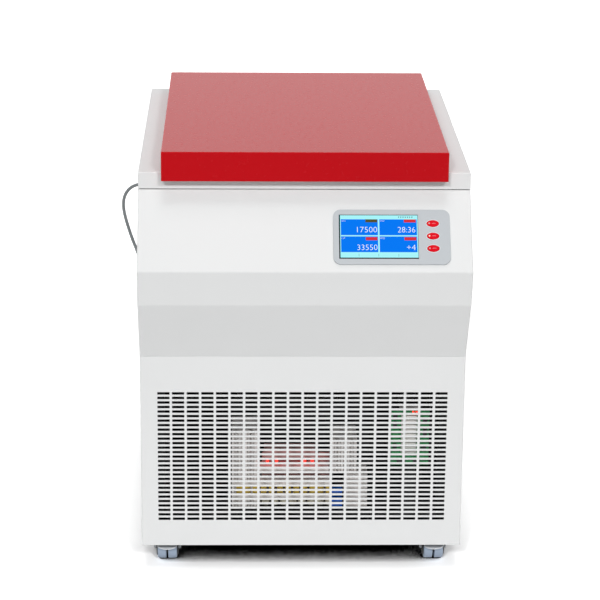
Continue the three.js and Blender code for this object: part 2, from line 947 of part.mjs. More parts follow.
function buildMotorDeck() {
  const reach = postX + postSize / 2 - motorDeckMargin;
  const range = [motorDeckUnder - overrun, motorDeckTop + overrun];
  return cut(
    block(
      [-reach, reach],
      [frontPostY - postSize / 2, rearPostY + postSize / 2],
      [motorDeckUnder, motorDeckTop],
    ),
    cylinder("z", [0, chamberY], neckHoleRadius, range),
    lineHole(1, suctionRadius, range),
    lineHole(-1, liquidRadius, range),
  );
}

// Chamber, from the bowl outwards
function buildBowl() {
  const rimTop = deckUnder - seam;
  const turn = [bowlRadius - bowlCorner, bowlFloor + bowlCorner];
  return turnedRing(
    [
      [spindleHole, bowlFloor],
      ...arc(turn, bowlCorner, -90, 0, cornerSteps),
      [bowlRadius, rimTop],
      [bowlRadius + bowlRim, rimTop],
      [bowlRadius + bowlRim, rimTop - bowlWall],
      [bowlRadius + bowlWall, rimTop - bowlWall],
      ...arc(turn, bowlCorner + bowlWall, 0, -90, cornerSteps),
      [spindleHole, bowlFloor - bowlWall],
    ],
    chamberSides,
    [0, chamberY],
  );
}

function ring(inner, outer, [z0, z1], sides) {
  return turnedRing(
    [
      [inner, z0],
      [outer, z0],
      [outer, z1],
      [inner, z1],
    ],
    sides,
    [0, chamberY],
  );
}

function buildJacket() {
  const inner = bowlRadius + bowlWall + seam;
  const outer = inner + jacketThickness;
  const pitch = (jacketTop - jacketBottom) / jacketRibs;
  const ribs = [];
  for (let i = 0; i < jacketRibs; i += 1) {
    ribs.push([outer, jacketBottom + pitch * i]);
    ribs.push([outer + jacketRib, jacketBottom + pitch * (i + 1 / 2)]);
  }
  const profile = [[inner, jacketBottom], ...ribs, [outer, jacketTop], [inner, jacketTop]];
  return turnedRing(profile, chamberSides, [0, chamberY]);
}

function buildInsulation() {
  const bottom = motorDeckTop + seam;
  const floorTop = bowlFloor - bowlWall - seam;
  const cup = turnedRing(
    [
      [insulationHole, bottom],
      [insulationInner + insulationThickness, bottom],
      [insulationInner + insulationThickness, insulationTop],
      [insulationInner, insulationTop],
      [insulationInner, floorTop],
      [insulationHole, floorTop],
    ],
    chamberSides,
    [0, chamberY],
  );
  const range = [bottom - overrun, floorTop + overrun];
  return cut(cup, lineHole(1, suctionRadius, range), lineHole(-1, liquidRadius, range));
}

// Lid
function buildLidCover() {
  const outline = [
    [lidFrontY, apronBottom],
    [lidFrontY + apronReturn, apronBottom],
    [lidFrontY + apronReturn, lidSkirtBottom],
    [hingeY, lidSkirtBottom],
    [lidBackY, hingeZ - rearSkirtDrop],
    [lidBackY, lidTop],
    [lidFrontY, lidTop],
  ];
  const outer = prism(outline, "x", [-lidWidth / 2, lidWidth / 2]);
  const insideHalf = lidWidth / 2 - lidWall;
  const hollow = block(
    [-insideHalf, insideHalf],
    [lidFrontY + lidWall, lidBackY - lidWall],
    [apronBottom - overrun, lidTop - lidWall],
  );
  const notches = [-bracketX, bracketX].map((x) => {
    const half = bracketHalfX + notchClearance;
    return block(
      [x - half, x + half],
      [lidBackY - lidWall - overrun, lidBackY + overrun],
      [apronBottom, hingeZ + lugRadius + runningGap],
    );
  });
  return cut(outer, hollow, ...notches);
}

function buildLiner() {
  const half = lidWidth / 2 - lidWall - seam;
  const board = block([-half, half], [lidFrontY + lidWall + seam, linerBackY], [linerBottom, linerTop]);
  const slot = block(
    [-strikerHalfX - seam, strikerHalfX + seam],
    [strikerY - strikerThickness / 2 - seam, strikerY + strikerThickness / 2 + seam],
    [linerBottom - overrun, linerTop + overrun],
  );
  return cut(board, slot);
}

function buildLidFrame() {
  const plate = block(
    [-liftPlateHalfX, liftPlateHalfX],
    [liftPlateFrontY, liftPlateBackY],
    [liftPlateBottom, liftPlateTop],
  );
  const armX = bracketX - earThickness / 2 - lugGap - armThickness / 2;
  const bore = boreRadius(shaftRadius, runningGap, smallSides);
  const arms = [-armX, armX].map((x) => {
    const range = [x - armThickness / 2, x + armThickness / 2];
    const side = rectangle([armStartY, hingeY], [liftPlateBottom, hingeZ + lugRadius / 2]);
    return join(prism(side, "x", range), cylinder("x", [hingeY, hingeZ], lugRadius, range, smallSides));
  });
  const bored = cylinder("x", [hingeY, hingeZ], bore, [-halfWidth, halfWidth], smallSides);
  const striker = cut(
    block(
      [-strikerHalfX, strikerHalfX],
      [strikerY - strikerThickness / 2, strikerY + strikerThickness / 2],
      [strikerBottom, liftPlateTop],
    ),
    block(
      [-strikerWindowHalfX, strikerWindowHalfX],
      [strikerY - strikerThickness, strikerY + strikerThickness],
      [strikerWindowBottom, strikerWindowTop],
    ),
  );
  return join(cut(join(plate, ...arms), bored), striker);
}

function buildHingeBracket(x) {
  const bottom = deckTop + seam;
  const foot = block(
    [x - bracketHalfX, x + bracketHalfX],
    [bracketFrontY, bracketBackY],
    [bottom, bottom + bracketPlate],
  );
  const range = [x - earThickness / 2, x + earThickness / 2];
  const ear = join(
    prism(rectangle([hingeY - lugRadius, hingeY + lugRadius], [bottom, hingeZ]), "x", range),
    cylinder("x", [hingeY, hingeZ], lugRadius, range, smallSides),
  );
  const bore = boreRadius(shaftRadius, seam, smallSides);
  const past = [range[0] - overrun, range[1] + overrun];
  return cut(join(foot, ear), cylinder("x", [hingeY, hingeZ], bore, past, smallSides));
}

// Lock
function buildLockUnit() {
  const shell = block(
    [-lockHalfX, lockHalfX],
    [slotFrontY - lockWall, lockBackY],
    [lockBottom, deckUnder - seam],
  );
  const cavity = block([-slotHalfX, slotHalfX], [slotFrontY, slotBackY], [lockCavityBottom, deckTop]);
  const pin = cylinder(
    "x",
    [hookPivotY, hookPivotZ],
    hookPinRadius,
    [-slotHalfX - overrun, slotHalfX + overrun],
    smallSides,
  );
  return join(cut(shell, cavity), pin);
}

// The hook is drawn about its pivot as it stands when it holds the striker.
// Then it is turned back to its open rest.
function buildLockHook() {
  const range = [-hookHalfX, hookHalfX];
  const outline = [
    [-hookArmHalf, -hookArmHalf],
    [hookArmHalf, -hookArmHalf],
    [hookArmHalf, hookArmHeight],
    [-hookReach, hookArmHeight],
    [-hookReach, hookArmHeight - hookBeak],
    [-hookArmHalf, hookArmHeight - hookBeak],
  ];
  const bore = boreRadius(hookPinRadius, seam, smallSides);
  const drilled = cut(
    prism(outline, "x", range),
    cylinder("x", [0, 0], bore, [range[0] - overrun, range[1] + overrun], smallSides),
  );
  return drilled.rotate([-hookRelease, 0, 0]).translate([0, hookPivotY, hookPivotZ]);
}

// Drive
function buildMotor() {
  const bore = boreRadius(spindleRadius, runningGap, motorSides);
  return turned(
    [
      [0, motorBottom],
      [motorRadius - motorChamfer, motorBottom],
      [motorRadius, motorBottom + motorChamfer],
      [motorRadius, motorFlangeTop - motorFlange],
      [motorFlangeRadius, motorFlangeTop - motorFlange],
      [motorFlangeRadius, motorFlangeTop],
      [motorNeckRadius, motorFlangeTop],
      [motorNeckRadius, motorNeckTop],
      [bore, motorNeckTop],
      [bore, motorBoreBottom],
      [0, motorBoreBottom],
    ],
    motorSides,
    [0, chamberY],
  );
}

function buildSpindle() {
  const shoulderTop = rotorBottom - seam;
  return turned(
    [
      [0, spindleBottom],
      [spindleRadius, spindleBottom],
      [spindleRadius, shoulderTop - shoulderHeight],
      [shoulderRadius, shoulderTop - shoulderHeight],
      [shoulderRadius, shoulderTop],
      [spindleRadius, shoulderTop],
      [spindleRadius, spindleShoulderTop],
      [studRadius, spindleShoulderTop],
      [studRadius, studTop],
      [0, studTop],
    ],
    roundSides,
    [0, chamberY],
  );
}

function buildRotor() {
  const bore = boreRadius(spindleRadius, seam, roundSides);
  let rotor = turnedRing(
    [
      [bore, rotorBottom],
      [rotorHubRadius, rotorBottom],
      [rotorBellyRadius, rotorBottom + rotorBellyRise],
      [rotorRadius, rotorBottom + rotorShoulder],
      [rotorRadius, rotorTop - rotorEdge],
      [rotorRadius - rotorEdge, rotorTop],
      [bore, rotorTop],
    ],
    chamberSides,
    [0, chamberY],
  );
  const tilt = THREE.MathUtils.degToRad(cavityTilt);
  for (let i = 0; i < cavityCount; i += 1) {
    const geometry = new THREE.CylinderGeometry(cavityRadius, cavityRadius, cavityDepth * 2, smallSides);
    geometry.rotateX(Math.PI / 2);
    geometry.rotateY(-tilt);
    geometry.translate(cavityCircle, 0, rotorTop);
    geometry.rotateZ((i * 2 * Math.PI) / cavityCount);
    geometry.translate(0, chamberY, 0);
    rotor = cut(rotor, solid(geometry));
  }
  return rotor;
}

function buildRotorLid() {
  const bottom = rotorTop + seam;
  const bore = boreRadius(studRadius, seam, roundSides);
  return turnedRing(
    [
      [bore, bottom],
      [rotorLidRadius - rotorLidRim, bottom],
      [rotorLidRadius, bottom + rotorLidRim],
      [rotorLidRadius - rotorLidRim, bottom + 2 * rotorLidRim],
      [rotorLidHub, bottom + rotorLidHeight],
      [bore, bottom + rotorLidHeight],
    ],
    chamberSides,
    [0, chamberY],
  );
}

function buildKnob() {
  const bottom = rotorTop + seam + rotorLidHeight + seam;
  const outline = [];
  for (let i = 0; i < knobPoints; i += 1) {
    const angle = (i * 2 * Math.PI) / knobPoints;
    const radius = knobRadius + knobLobe * Math.cos(angle * knobLobes);
    outline.push([radius * Math.cos(angle), chamberY + radius * Math.sin(angle)]);
  }
  const bore = boreRadius(studRadius, seam, smallSides);
  return cut(
    prism(outline, "z", [bottom, knobTop]),
    cylinder("z", [0, chamberY], bore, [bottom - overrun, knobTop - knobRoof], smallSides),
  );
}

// Casters
function turnedAlongX(profile, sides, [x, y, z]) {
  const geometry = new THREE.LatheGeometry(
    profile.map(([r, h]) => new THREE.Vector2(r, h)),
    sides,
  );
  geometry.rotateZ(-Math.PI / 2);
  geometry.translate(x, y, z);
  return solid(geometry);
}

// Two dished wheels on one axle, with a nut at each end
function buildWheels(x, y) {
  const half = wheelGap / 2;
  const outer = half + wheelWidth;
  const profile = [
    [0, -outer - nutLength],
    [nutRadius, -outer - nutLength],
    [nutRadius, -outer + wheelDish],
    [wheelRadius - wheelEdge, -outer],
    [wheelRadius, -outer + wheelEdge],
    [wheelRadius, -half],
    [axleRadius, -half],
  ];
  const mirrored = profile.map(([r, h]) => [r, -h]).reverse();
  return turnedAlongX([...profile, ...mirrored], wheelSides, [x, y, wheelRadius]);
}

// The yoke's web stands between the wheels and hangs from the swivel race.
// A brake yoke also carries the pedal's pin.
function buildYoke({ x, y, end }, hasPedal) {
  const axleY = y + end * casterTrail;
  const web = [x - yokeWeb / 2, x + yokeWeb / 2];
  const bridgeBottom = wheelRadius * 2 + yokeClearance;
  const bridgeTop = bridgeBottom + bridgeHeight;
  const raceTop = frameBottom - seam;
  const near = Math.min(axleY - end * raceRadius, axleY);
  const far = Math.max(axleY - end * raceRadius, axleY);
  const upright = prism(rectangle([near, far], [wheelRadius, bridgeTop]), "x", web);
  const hub = cylinder("x", [axleY, wheelRadius], wheelHubRadius, web);
  const bridgeEnd = axleY + (end * wheelRadius) / 2;
  const bridge = block(
    [x - pedalHalfX, x + pedalHalfX],
    [Math.min(bridgeEnd, y - end * raceRadius), Math.max(bridgeEnd, y - end * raceRadius)],
    [bridgeBottom, bridgeTop],
  );
  const race = cylinder("z", [x, y], raceRadius, [bridgeTop - yokeWeb, raceTop]);
  const stem = cylinder("z", [x, y], stemRadius, [bridgeTop, raceTop + stemLength], pinSides);
  let yoke = join(upright, hub, bridge, race, stem);
  if (hasPedal) {
    const pinY = bridgeEnd + end * (pedalBarrelRadius + seam);
    const pinZ = bridgeBottom + bridgeHeight / 2;
    const outerX = pedalBarrelHalfX + seam;
    const ears = [-1, 1].map((side) => {
      const range = side < 0 ? [x - outerX - pedalEar, x - outerX] : [x + outerX, x + outerX + pedalEar];
      return join(
        block(range, span(pinY, bridgeEnd - end * pedalEar), [
          pinZ - bridgeHeight / 2,
          pinZ + bridgeHeight / 2,
        ]),
        cylinder("x", [pinY, pinZ], bridgeHeight / 2, range, pinSides),
      );
    });
    const pinHalf = outerX + pedalEar / 2;
    const pin = cylinder("x", [pinY, pinZ], pedalPinRadius, [x - pinHalf, x + pinHalf], pinSides);
    yoke = join(yoke, ...ears, pin);
  }
  const bore = boreRadius(axleRadius, seam, wheelSides);
  return cut(yoke, cylinder("x", [axleY, wheelRadius], bore, [x - wheelGap, x + wheelGap], wheelSides));
}

// A pressed pedal that arches over the front of both wheels
function buildPedal({ x, y, end }) {
  const axleY = y + end * casterTrail;
  const bridgeEnd = axleY + (end * wheelRadius) / 2;
  const pinY = bridgeEnd + end * (pedalBarrelRadius + seam);
  const pinZ = wheelRadius * 2 + yokeClearance + bridgeHeight / 2;
  const inner = wheelRadius + pedalGap;
  const outer = inner + pedalSheet;
  const centre = [0, wheelRadius];
  const high = pedalHighAngle;
  const low = pedalLowAngle;
  const back = arc(centre, inner, high, low, pedalSteps);
  const front = arc(centre, outer, low, high, pedalSteps);
  const lipTop = front[0][1];
  const lip = [
    [outer + pedalLip, lipTop - pedalSheet],
    [outer + pedalLip, lipTop],
  ];
  const mirror = ([u, v]) => [axleY + end * u, v];
  const outline = [...back, ...lip, ...front.slice(1)].map(mirror);
  const plate = prism(outline, "x", [x - pedalHalfX, x + pedalHalfX]);
  const range = [x - pedalBarrelHalfX, x + pedalBarrelHalfX];
  const topEnd = mirror(front[front.length - 1]);
  const backEnd = mirror(back[0]);
  const strapEnd = [[pinY, pinZ + pedalBarrelRadius], [pinY, pinZ - pedalBarrelRadius]];
  const strap = prism([backEnd, topEnd, ...strapEnd], "x", range);
  const barrel = cylinder("x", [pinY, pinZ], pedalBarrelRadius, range, smallSides);
  const bore = boreRadius(pedalPinRadius, seam, pinSides);
  const drill = cylinder("x", [pinY, pinZ], bore, [range[0] - overrun, range[1] + overrun], pinSides);
  return cut(join(plate, strap, barrel), drill);
}

// Display and keys, drawn on the sloping face
function keyOutline(rise, gap) {
  const width = keyWidth + 2 * gap;
  const height = keyHeight + 2 * gap;
  return roundedRectangle([keyX, rise], width, height, height / 2 - gap, cornerSteps - 1);
}

function buildBezel() {
  const holes = [
    rectangle(
      [screenX - screenWidth / 2 - seam, screenX + screenWidth / 2 + seam],
      [screenRise - screenHeight / 2 - seam, screenRise + screenHeight / 2 + seam],
    ),
    ...keyRises.map((rise) => keyOutline(rise, keyGap)),
  ];
  const middle = [bezelX, bezelRise];
  const outline = roundedRectangle(middle, bezelWidth, bezelHeight, bezelCorner, cornerSteps);
  return prism(outline, "z", [seam, seam + bezelThickness], holes);
}

function buildScreen() {
  return block(
    [screenX - screenWidth / 2, screenX + screenWidth / 2],
    [screenRise - screenHeight / 2, screenRise + screenHeight / 2],
    [-screenDepth, seam + bezelThickness - screenRecess],
  );
}

function buildKey(rise) {
  return prism(keyOutline(rise, 0), "z", [-keyDepth, seam + bezelThickness + keyProud]);
}

// Refrigeration
function buildCompressor() {
  const bottom = frameTop + seam;
  const base = bottom + compressorFootPlate;
  const shoulder = compressorTop - compressorDome;
  const dome = arc([0, 0], 1, 0, 90, cornerSteps).map(([across, up]) => [
    compressorRadius * across,
    shoulder + compressorDome * up,
  ]);
  dome[dome.length - 1][0] = 0;
  const can = turned(
    [[0, bottom], [compressorRadius, bottom], ...dome],
    motorSides,
    [compressorX, compressorY],
  );
  const foot = block(
    [compressorX - compressorFoot, compressorX + compressorFoot],
    [compressorY - compressorFoot, compressorY + compressorFoot],
    [bottom, base],
  );
  const portRange = [shoulder, compressorTop + portHeight];
  const port = cylinder("z", [compressorX, compressorY], portRadius, portRange, smallSides);
  return join(can, foot, port);
}

function buildCondenser() {
  const front = condenserFrontY;
  const back = condenserFrontY + condenserDepth;
  const pitch = (condenserRight - condenserLeft) / condenserFins;
  const outline = [[condenserLeft, front]];
  for (let i = 0; i < condenserFins; i += 1) {
    const x = condenserLeft + pitch * i;
    if (i > 0) outline.push([x, front + condenserCore], [x, front]);
    outline.push([x + finThickness, front], [x + finThickness, front + condenserCore]);
  }
  const last = outline.length - 1;
  outline[last] = [condenserRight, front + condenserCore];
  const lastFin = condenserLeft + pitch * (condenserFins - 1) + finThickness;
  outline.splice(last, 0, [lastFin, front + condenserCore]);
  outline.push([condenserRight, back], [condenserLeft, back]);
  return prism(outline, "z", [frameTop + seam, condenserTop]);
}

const fanX = (condenserLeft + condenserRight) / 2;
const fanZ = (frameTop + condenserTop) / 2;

function buildShroud() {
  const back = shroudY + shroudPlate;
  const range = [shroudY - overrun, back + overrun];
  const plate = block([condenserLeft, condenserRight], [shroudY, back], [frameTop + seam, condenserTop]);
  const mouth = cylinder("y", [fanX, fanZ], fanRadius + fanClearance, range);
  const bar = block(
    [condenserLeft, condenserRight],
    [back - sheet, back + fanBar],
    [fanZ - fanBarHalf, fanZ + fanBarHalf],
  );
  const hub = cylinder("y", [fanX, fanZ], fanHubRadius, [back - sheet, back + fanBar]);
  const pin = cylinder("y", [fanX, fanZ], fanPinRadius, [fanPinFrontY, back], smallSides);
  return join(cut(plate, mouth), bar, hub, pin);
}

function buildFan() {
  const hubBack = fanHubFrontY + fanHubLength;
  const middle = (fanHubFrontY + hubBack) / 2;
  let fan = cylinder("y", [fanX, fanZ], fanHubRadius, [fanHubFrontY, hubBack]);
  for (let i = 0; i < fanBlades; i += 1) {
    const geometry = new THREE.BoxGeometry(bladeChord, bladeThickness, fanRadius - fanHubRadius / 2);
    geometry.translate(0, 0, (fanRadius + fanHubRadius / 2) / 2);
    geometry.rotateZ(THREE.MathUtils.degToRad(bladePitch));
    geometry.rotateY((i * 2 * Math.PI) / fanBlades);
    geometry.translate(fanX, middle, fanZ);
    fan = join(fan, solid(geometry));
  }
  const reach = cylinder("y", [fanX, fanZ], fanRadius, [fanHubFrontY - overrun, hubBack]);
  const bore = boreRadius(fanPinRadius, runningGap, smallSides);
  const drilled = [fanPinFrontY - runningGap, hubBack + overrun];
  const drill = cylinder("y", [fanX, fanZ], bore, drilled, smallSides);
  return cut(fan.intersect(reach), drill);
}

function buildSuctionLine() {
  const [x, y] = linePlace(1);
  return bentPipe(
    [
      [x, y, jacketBottom - seam],
      [x, y, lineDropHeight],
      [compressorX, compressorY, suctionTurnHeight],
      [compressorX, compressorY, compressorTop + portHeight + seam],
    ],
    suctionRadius,
    lineBend,
    coilSides,
    coilStepsPerLoop,
  );
}

function buildLiquidLine() {
  const [x, y] = linePlace(-1);
  const endY = condenserFrontY + condenserDepth / 2;
  return bentPipe(
    [
      [x, y, jacketBottom - seam],
      [x, y, liquidTurnHeight],
      [fanX, endY, liquidTurnHeight],
      [fanX, endY, condenserTop + seam],
    ],
    liquidRadius,
    lineBend,
    coilSides,
    coilStepsPerLoop,
  );
}

function buildDrier() {
  const bore = boreRadius(liquidRadius, seam, smallSides);
  return turnedRing(
    [
      [bore, drierBottom],
      [drierRadius, drierBottom + drierCone],
      [drierRadius, drierTop - drierCone],
      [bore, drierTop],
    ],
    smallSides,
    linePlace(-1),
  );
}

// Electronics behind the grille
function buildConverter() {
  const pitch = (converterRight - converterLeft) / converterFins;
  const outline = [];
  for (let i = 0; i < converterFins; i += 1) {
    const x = converterLeft + pitch * i;
    outline.push(
      [x, converterFrontY + converterFinDepth],
      [x, converterFrontY],
      [x + pitch / 2, converterFrontY],
      [x + pitch / 2, converterFrontY + converterFinDepth],
    );
  }
  outline.push([converterRight, converterFrontY + converterFinDepth]);
  outline.push([converterRight, converterBackY], [converterLeft, converterBackY]);
  const housing = prism(outline, "z", [converterBottom, converterTop]);
  const tray = block(
    [converterLeft, converterRight],
    [converterFrontY, converterBackY],
    [converterBottom - converterTray, converterBottom + overrun],
  );
  const legs = [
    [converterLeft, converterLeft + converterLeg],
    [converterRight - converterLeg, converterRight],
  ].map((range) =>
    block(range, [converterFrontY, converterBackY], [frameTop + seam, converterBottom]),
  );
  return join(housing, tray, ...legs);
}

function buildControlBoard() {
  const front = [boardY, boardY + boardThickness];
  const middle = (boardLeft + boardRight) / 2;
  return join(
    block([boardLeft, boardRight], front, [boardBottom, boardTop]),
    block(
      [relayLeft, relayRight],
      [boardY + boardThickness / 2, boardY + relayDepth],
      [relayBottom, relayTop],
    ),
    block(
      [middle - boardLegHalf, middle + boardLegHalf],
      front,
      [frameTop + seam, boardBottom + boardThickness],
    ),
    block(
      [middle - boardLegHalf, middle + boardLegHalf],
      [boardY, boardY + boardFoot],
      [frameTop + seam, frameTop + seam + boardThickness],
    ),
  );
}

// Mains switch
const rockerY = rearY + switchFlange - rockerSetback - rockerEnd;

function buildSwitchFrame() {
  const inner = rectangle(
    [switchX - rockerHalfX - seam, switchX + rockerHalfX + seam],
    [switchZ - rockerRoom, switchZ + rockerRoom],
  );
  const flange = prism(
    rectangle(
      [switchX - switchHalfX, switchX + switchHalfX],
      [switchZ - switchHalfZ, switchZ + switchHalfZ],
    ),
    "y",
    [rearY + seam, rearY + seam + switchFlange],
    [inner],
  );
  const halfX = switchHalfX - switchFlange;
  const halfZ = switchHalfZ - switchFlange;
  const body = block(
    [switchX - halfX, switchX + halfX],
    [rearY - switchDepth, rearY + seam + switchFlange / 2],
    [switchZ - halfZ, switchZ + halfZ],
  );
  const hollow = prism(inner, "y", [rearY - switchDepth + switchWall, rearY + overrun + switchFlange]);
  return join(flange, cut(body, hollow));
}

function buildRocker() {
  const outline = [
    [-rockerDepth, rockerTaper - rockerHalfZ],
    [rockerEnd, -rockerHalfZ],
    [rockerDip, 0],
    [rockerEnd, rockerHalfZ],
    [-rockerDepth, rockerHalfZ - rockerTaper],
  ];
  const drawn = prism(outline, "x", [switchX - rockerHalfX, switchX + rockerHalfX]);
  return drawn.rotate([-rockerTilt, 0, 0]).translate([0, rockerY, switchZ]);
}

// Cord
function buildGland() {
  const centre = [glandX, glandZ];
  const shankRange = [rearY - glandShank, rearY + glandNut];
  const nutRange = [rearY + seam, rearY + seam + glandNut];
  const shank = cylinder("y", centre, glandShankRadius, shankRange, smallSides);
  const nut = cylinder("y", centre, glandNutRadius, nutRange, coilSides);
  const nutEnd = rearY + seam + glandNut;
  const length = glandTaper + seam;
  const taper = new THREE.CylinderGeometry(glandEndRadius, glandShankRadius, length, smallSides);
  taper.translate(0, nutEnd + (glandTaper - seam) / 2, 0);
  taper.translate(glandX, 0, glandZ);
  return join(shank, nut, solid(taper));
}

function buildCord() {
  const points = cordRoute.map((p) => new THREE.Vector3(...p));
  const path = new THREE.CatmullRomCurve3(points, false, "centripetal");
  console.log("free cord length " + path.getLength().toFixed(1) + " mm");
  return pipeAlong(path, cordRadius, cordSides, cordSteps);
}

// The coil spirals in over the lower layer and climbs in the half turn where it reverses.
// Then it spirals out above that layer.
function coilPoint(turn) {
  const angle = turn * 2 * Math.PI - Math.PI / 2;
  const radius = coilInnerRadius + coilPitch * Math.abs(coilLoops - turn);
  const climb = THREE.MathUtils.smoothstep(turn, coilLoops - 1 / 4, coilLoops + 1 / 4);
  return {
    out: new THREE.Vector3(Math.cos(angle), Math.sin(angle), 0),
    at: new THREE.Vector3(
      coilX + radius * Math.cos(angle),
      coilY + radius * Math.sin(angle),
      coilBaseZ + climb * coilPitch,
    ),
  };
}

function coilCentreLine() {
  const steps = 2 * coilLoops * coilStepsPerLoop;
  const line = [];
  for (let i = 0; i <= steps; i += 1) line.push(coilPoint(i / coilStepsPerLoop));
  const first = line[0];
  const last = line[steps];
  const lead = new THREE.Vector3(coilEndX, first.at.y, first.at.z);
  const tail = new THREE.Vector3(coilX + coilTail, last.at.y, last.at.z);
  return [{ out: first.out, at: lead }, ...line, { out: last.out, at: tail }];
}

function leastCoilGap(line) {
  let least = Infinity;
  const dense = line.slice(1)
    .flatMap(({ at }, i) => [at, at.clone().add(line[i].at).multiplyScalar(1 / 2)]);
  for (let i = 0; i < dense.length; i += 1) {
    for (let j = i + coilStepsPerLoop; j < dense.length; j += 1) {
      least = Math.min(least, dense[i].distanceTo(dense[j]) - cordDiameter);
    }
  }
  return least;
}

function buildCoil() {
  const line = coilCentreLine();
  console.log("least gap in the coil " + leastCoilGap(line).toFixed(2) + " mm");
  const up = unit.z;
  const positions = [];
  for (const { at, out } of line) {
    for (let side = 0; side < coilSides; side += 1) {
      const angle = ((side + 1 / 2) * 2 * Math.PI) / coilSides;
      const corner = at
        .clone()
        .addScaledVector(out, cordRadius * Math.cos(angle))
        .addScaledVector(up, cordRadius * Math.sin(angle));
      positions.push(...corner.toArray());
    }
  }
  const faces = [];
  for (let i = 0; i + 1 < line.length; i += 1) {
    for (let side = 0; side < coilSides; side += 1) {
      const a = i * coilSides + side;
      const b = i * coilSides + ((side + 1) % coilSides);
      faces.push(a, a + coilSides, b, b, a + coilSides, b + coilSides);
    }
  }
  const end = (line.length - 1) * coilSides;
  for (let side = 1; side + 1 < coilSides; side += 1) {
    faces.push(0, side, side + 1);
    faces.push(end, end + side + 1, end + side);
  }
  const geometry = new THREE.BufferGeometry();
  geometry.setAttribute("position", new THREE.Float32BufferAttribute(positions, 3));
  geometry.setIndex(faces);
  return solid(geometry);
}

// A strap round the coil's section, on the side away from the cabinet
function buildTie() {
  const gap = coilGap / 2;
  const innerLoop = coilInnerRadius + coilPitch / 2 - cordRadius;
  const inner = Math.sqrt(innerLoop ** 2 - (tieWidth / 2) ** 2) - gap;
  const outer = coilInnerRadius + coilPitch * (coilLoops - 1 / 2) + cordRadius + gap;
  const low = coilBaseZ - cordRadius - gap / 2;
  const high = coilBaseZ + coilPitch + cordRadius + gap;
  const opening = rectangle([coilY + inner, coilY + outer], [low, high]);
  const outline = rectangle(
    [coilY + inner - tieThickness, coilY + outer + tieThickness],
    [low - tieThickness, high + tieThickness],
  );
  return prism(outline, "x", [coilX - tieWidth / 2, coilX + tieWidth / 2], [opening]);
}

// A moulded two-pin plug that lies flat on the floor
function buildPlug() {
  const z = coilBaseZ + coilPitch;
  const start = coilX + coilTail + seam;
  const bodyStart = start + plugBoot;
  const bodyEnd = bodyStart + plugBodyLength;
  const boot = new THREE.CylinderGeometry(z / 2, plugBootRadius, plugBoot + overrun, smallSides);
  boot.rotateZ(-Math.PI / 2);
  boot.translate(start + (plugBoot + overrun) / 2, coilFrontY, z);
  const body = prism(
    roundedRectangle([coilFrontY, z], 2 * plugHalfWidth, 2 * z, plugCorner, cornerSteps - 1),
    "x",
    [bodyStart, bodyEnd],
  );
  const pins = [-1, 1].map((side) =>
    cylinder(
      "x",
      [coilFrontY + (side * pinSpacing) / 2, z],
      pinRadius,
      [bodyEnd - overrun, bodyEnd + pinLength],
      cordSides,
    ),
  );
  return join(solid(boot), body, ...pins);
}

// Assembly
addPiece("front_fascia", buildFascia(), whiteEnamel);
addPiece("front_grille_panel", buildGrille(), whiteEnamel);
addPiece("left_side_panel", buildSidePanel(-1), whiteEnamel);
addPiece("right_side_panel", buildSidePanel(1), whiteEnamel);
addPiece("rear_panel", buildRearPanel(), whiteEnamel);
addPiece("top_deck", buildDeck(), whiteEnamel);
addPiece("base_frame", buildBaseFrame(), zincSteel);
addPiece("motor_deck", buildMotorDeck(), zincSteel);

addPiece("chamber_bowl", buildBowl(), stainless);
const gasketRange = [deckTop + seam, deckTop + seam + gasketHeight];
const gasketRing = ring(gasketInner, gasketInner + gasketWidth, gasketRange, chamberSides);
addPiece("chamber_gasket", gasketRing, blackRubber);
addPiece("evaporator_jacket", buildJacket(), copper);
addPiece("insulation_shell", buildInsulation(), foam);
const armourInner = insulationInner + insulationThickness + seam;
const armourRange = [motorDeckTop + seam, insulationTop];
const armour = ring(armourInner, armourInner + armourThickness, armourRange, chamberSides);
addPiece("armour_ring", armour, zincSteel);

addPiece("lid_cover", buildLidCover(), redEnamel);
addPiece("lid_liner", buildLiner(), greyPlastic);
addPiece("lid_frame", buildLidFrame(), zincSteel);
addPiece("hinge_bracket_left", buildHingeBracket(-bracketX), zincSteel);
addPiece("hinge_bracket_right", buildHingeBracket(bracketX), zincSteel);
const shaftReach = bracketX + earThickness / 2 + shaftOverhang;
const shaft = cylinder("x", [hingeY, hingeZ], shaftRadius, [-shaftReach, shaftReach], smallSides);
addPiece("hinge_shaft", shaft, zincSteel);
addPiece("lock_unit", buildLockUnit(), blackPaint);
addPiece("lock_hook", buildLockHook(), zincSteel);

addPiece("drive_motor", buildMotor(), blackPaint);
for (let i = 0; i < mountCount; i += 1) {
  const angle = Math.PI / 2 + (i * 2 * Math.PI) / mountCount;
  const place = [mountCircle * Math.cos(angle), chamberY + mountCircle * Math.sin(angle)];
  const range = [motorFlangeTop + seam, motorDeckUnder - seam];
  const rubber = cylinder("z", place, mountRadius, range, smallSides);
  addPiece("rubber_mount_" + (i + 1), rubber, blackRubber);
}
addPiece("spindle", buildSpindle(), stainless);
addPiece("rotor_body", buildRotor(), aluminium);
addPiece("rotor_lid", buildRotorLid(), aluminium);
addPiece("rotor_knob", buildKnob(), darkPlastic);

forEachCaster((caster) => {
  const hasPedal = caster.end < 0;
  addPiece("caster_yoke_" + caster.name, buildYoke(caster, hasPedal), zincSteel);
  const wheels = buildWheels(caster.x, caster.y + caster.end * casterTrail);
  addPiece("caster_wheels_" + caster.name, wheels, greyRubber);
  if (hasPedal) addPiece("brake_pedal_" + caster.name, buildPedal(caster), zincSteel);
});

addPiece("display_bezel", buildBezel(), greyPlastic, controlFace);
addPiece("display_screen", buildScreen(), screenGlass, controlFace);
keyRises.forEach((rise, i) => addPiece("key_" + (i + 1), buildKey(rise), redKey, controlFace));

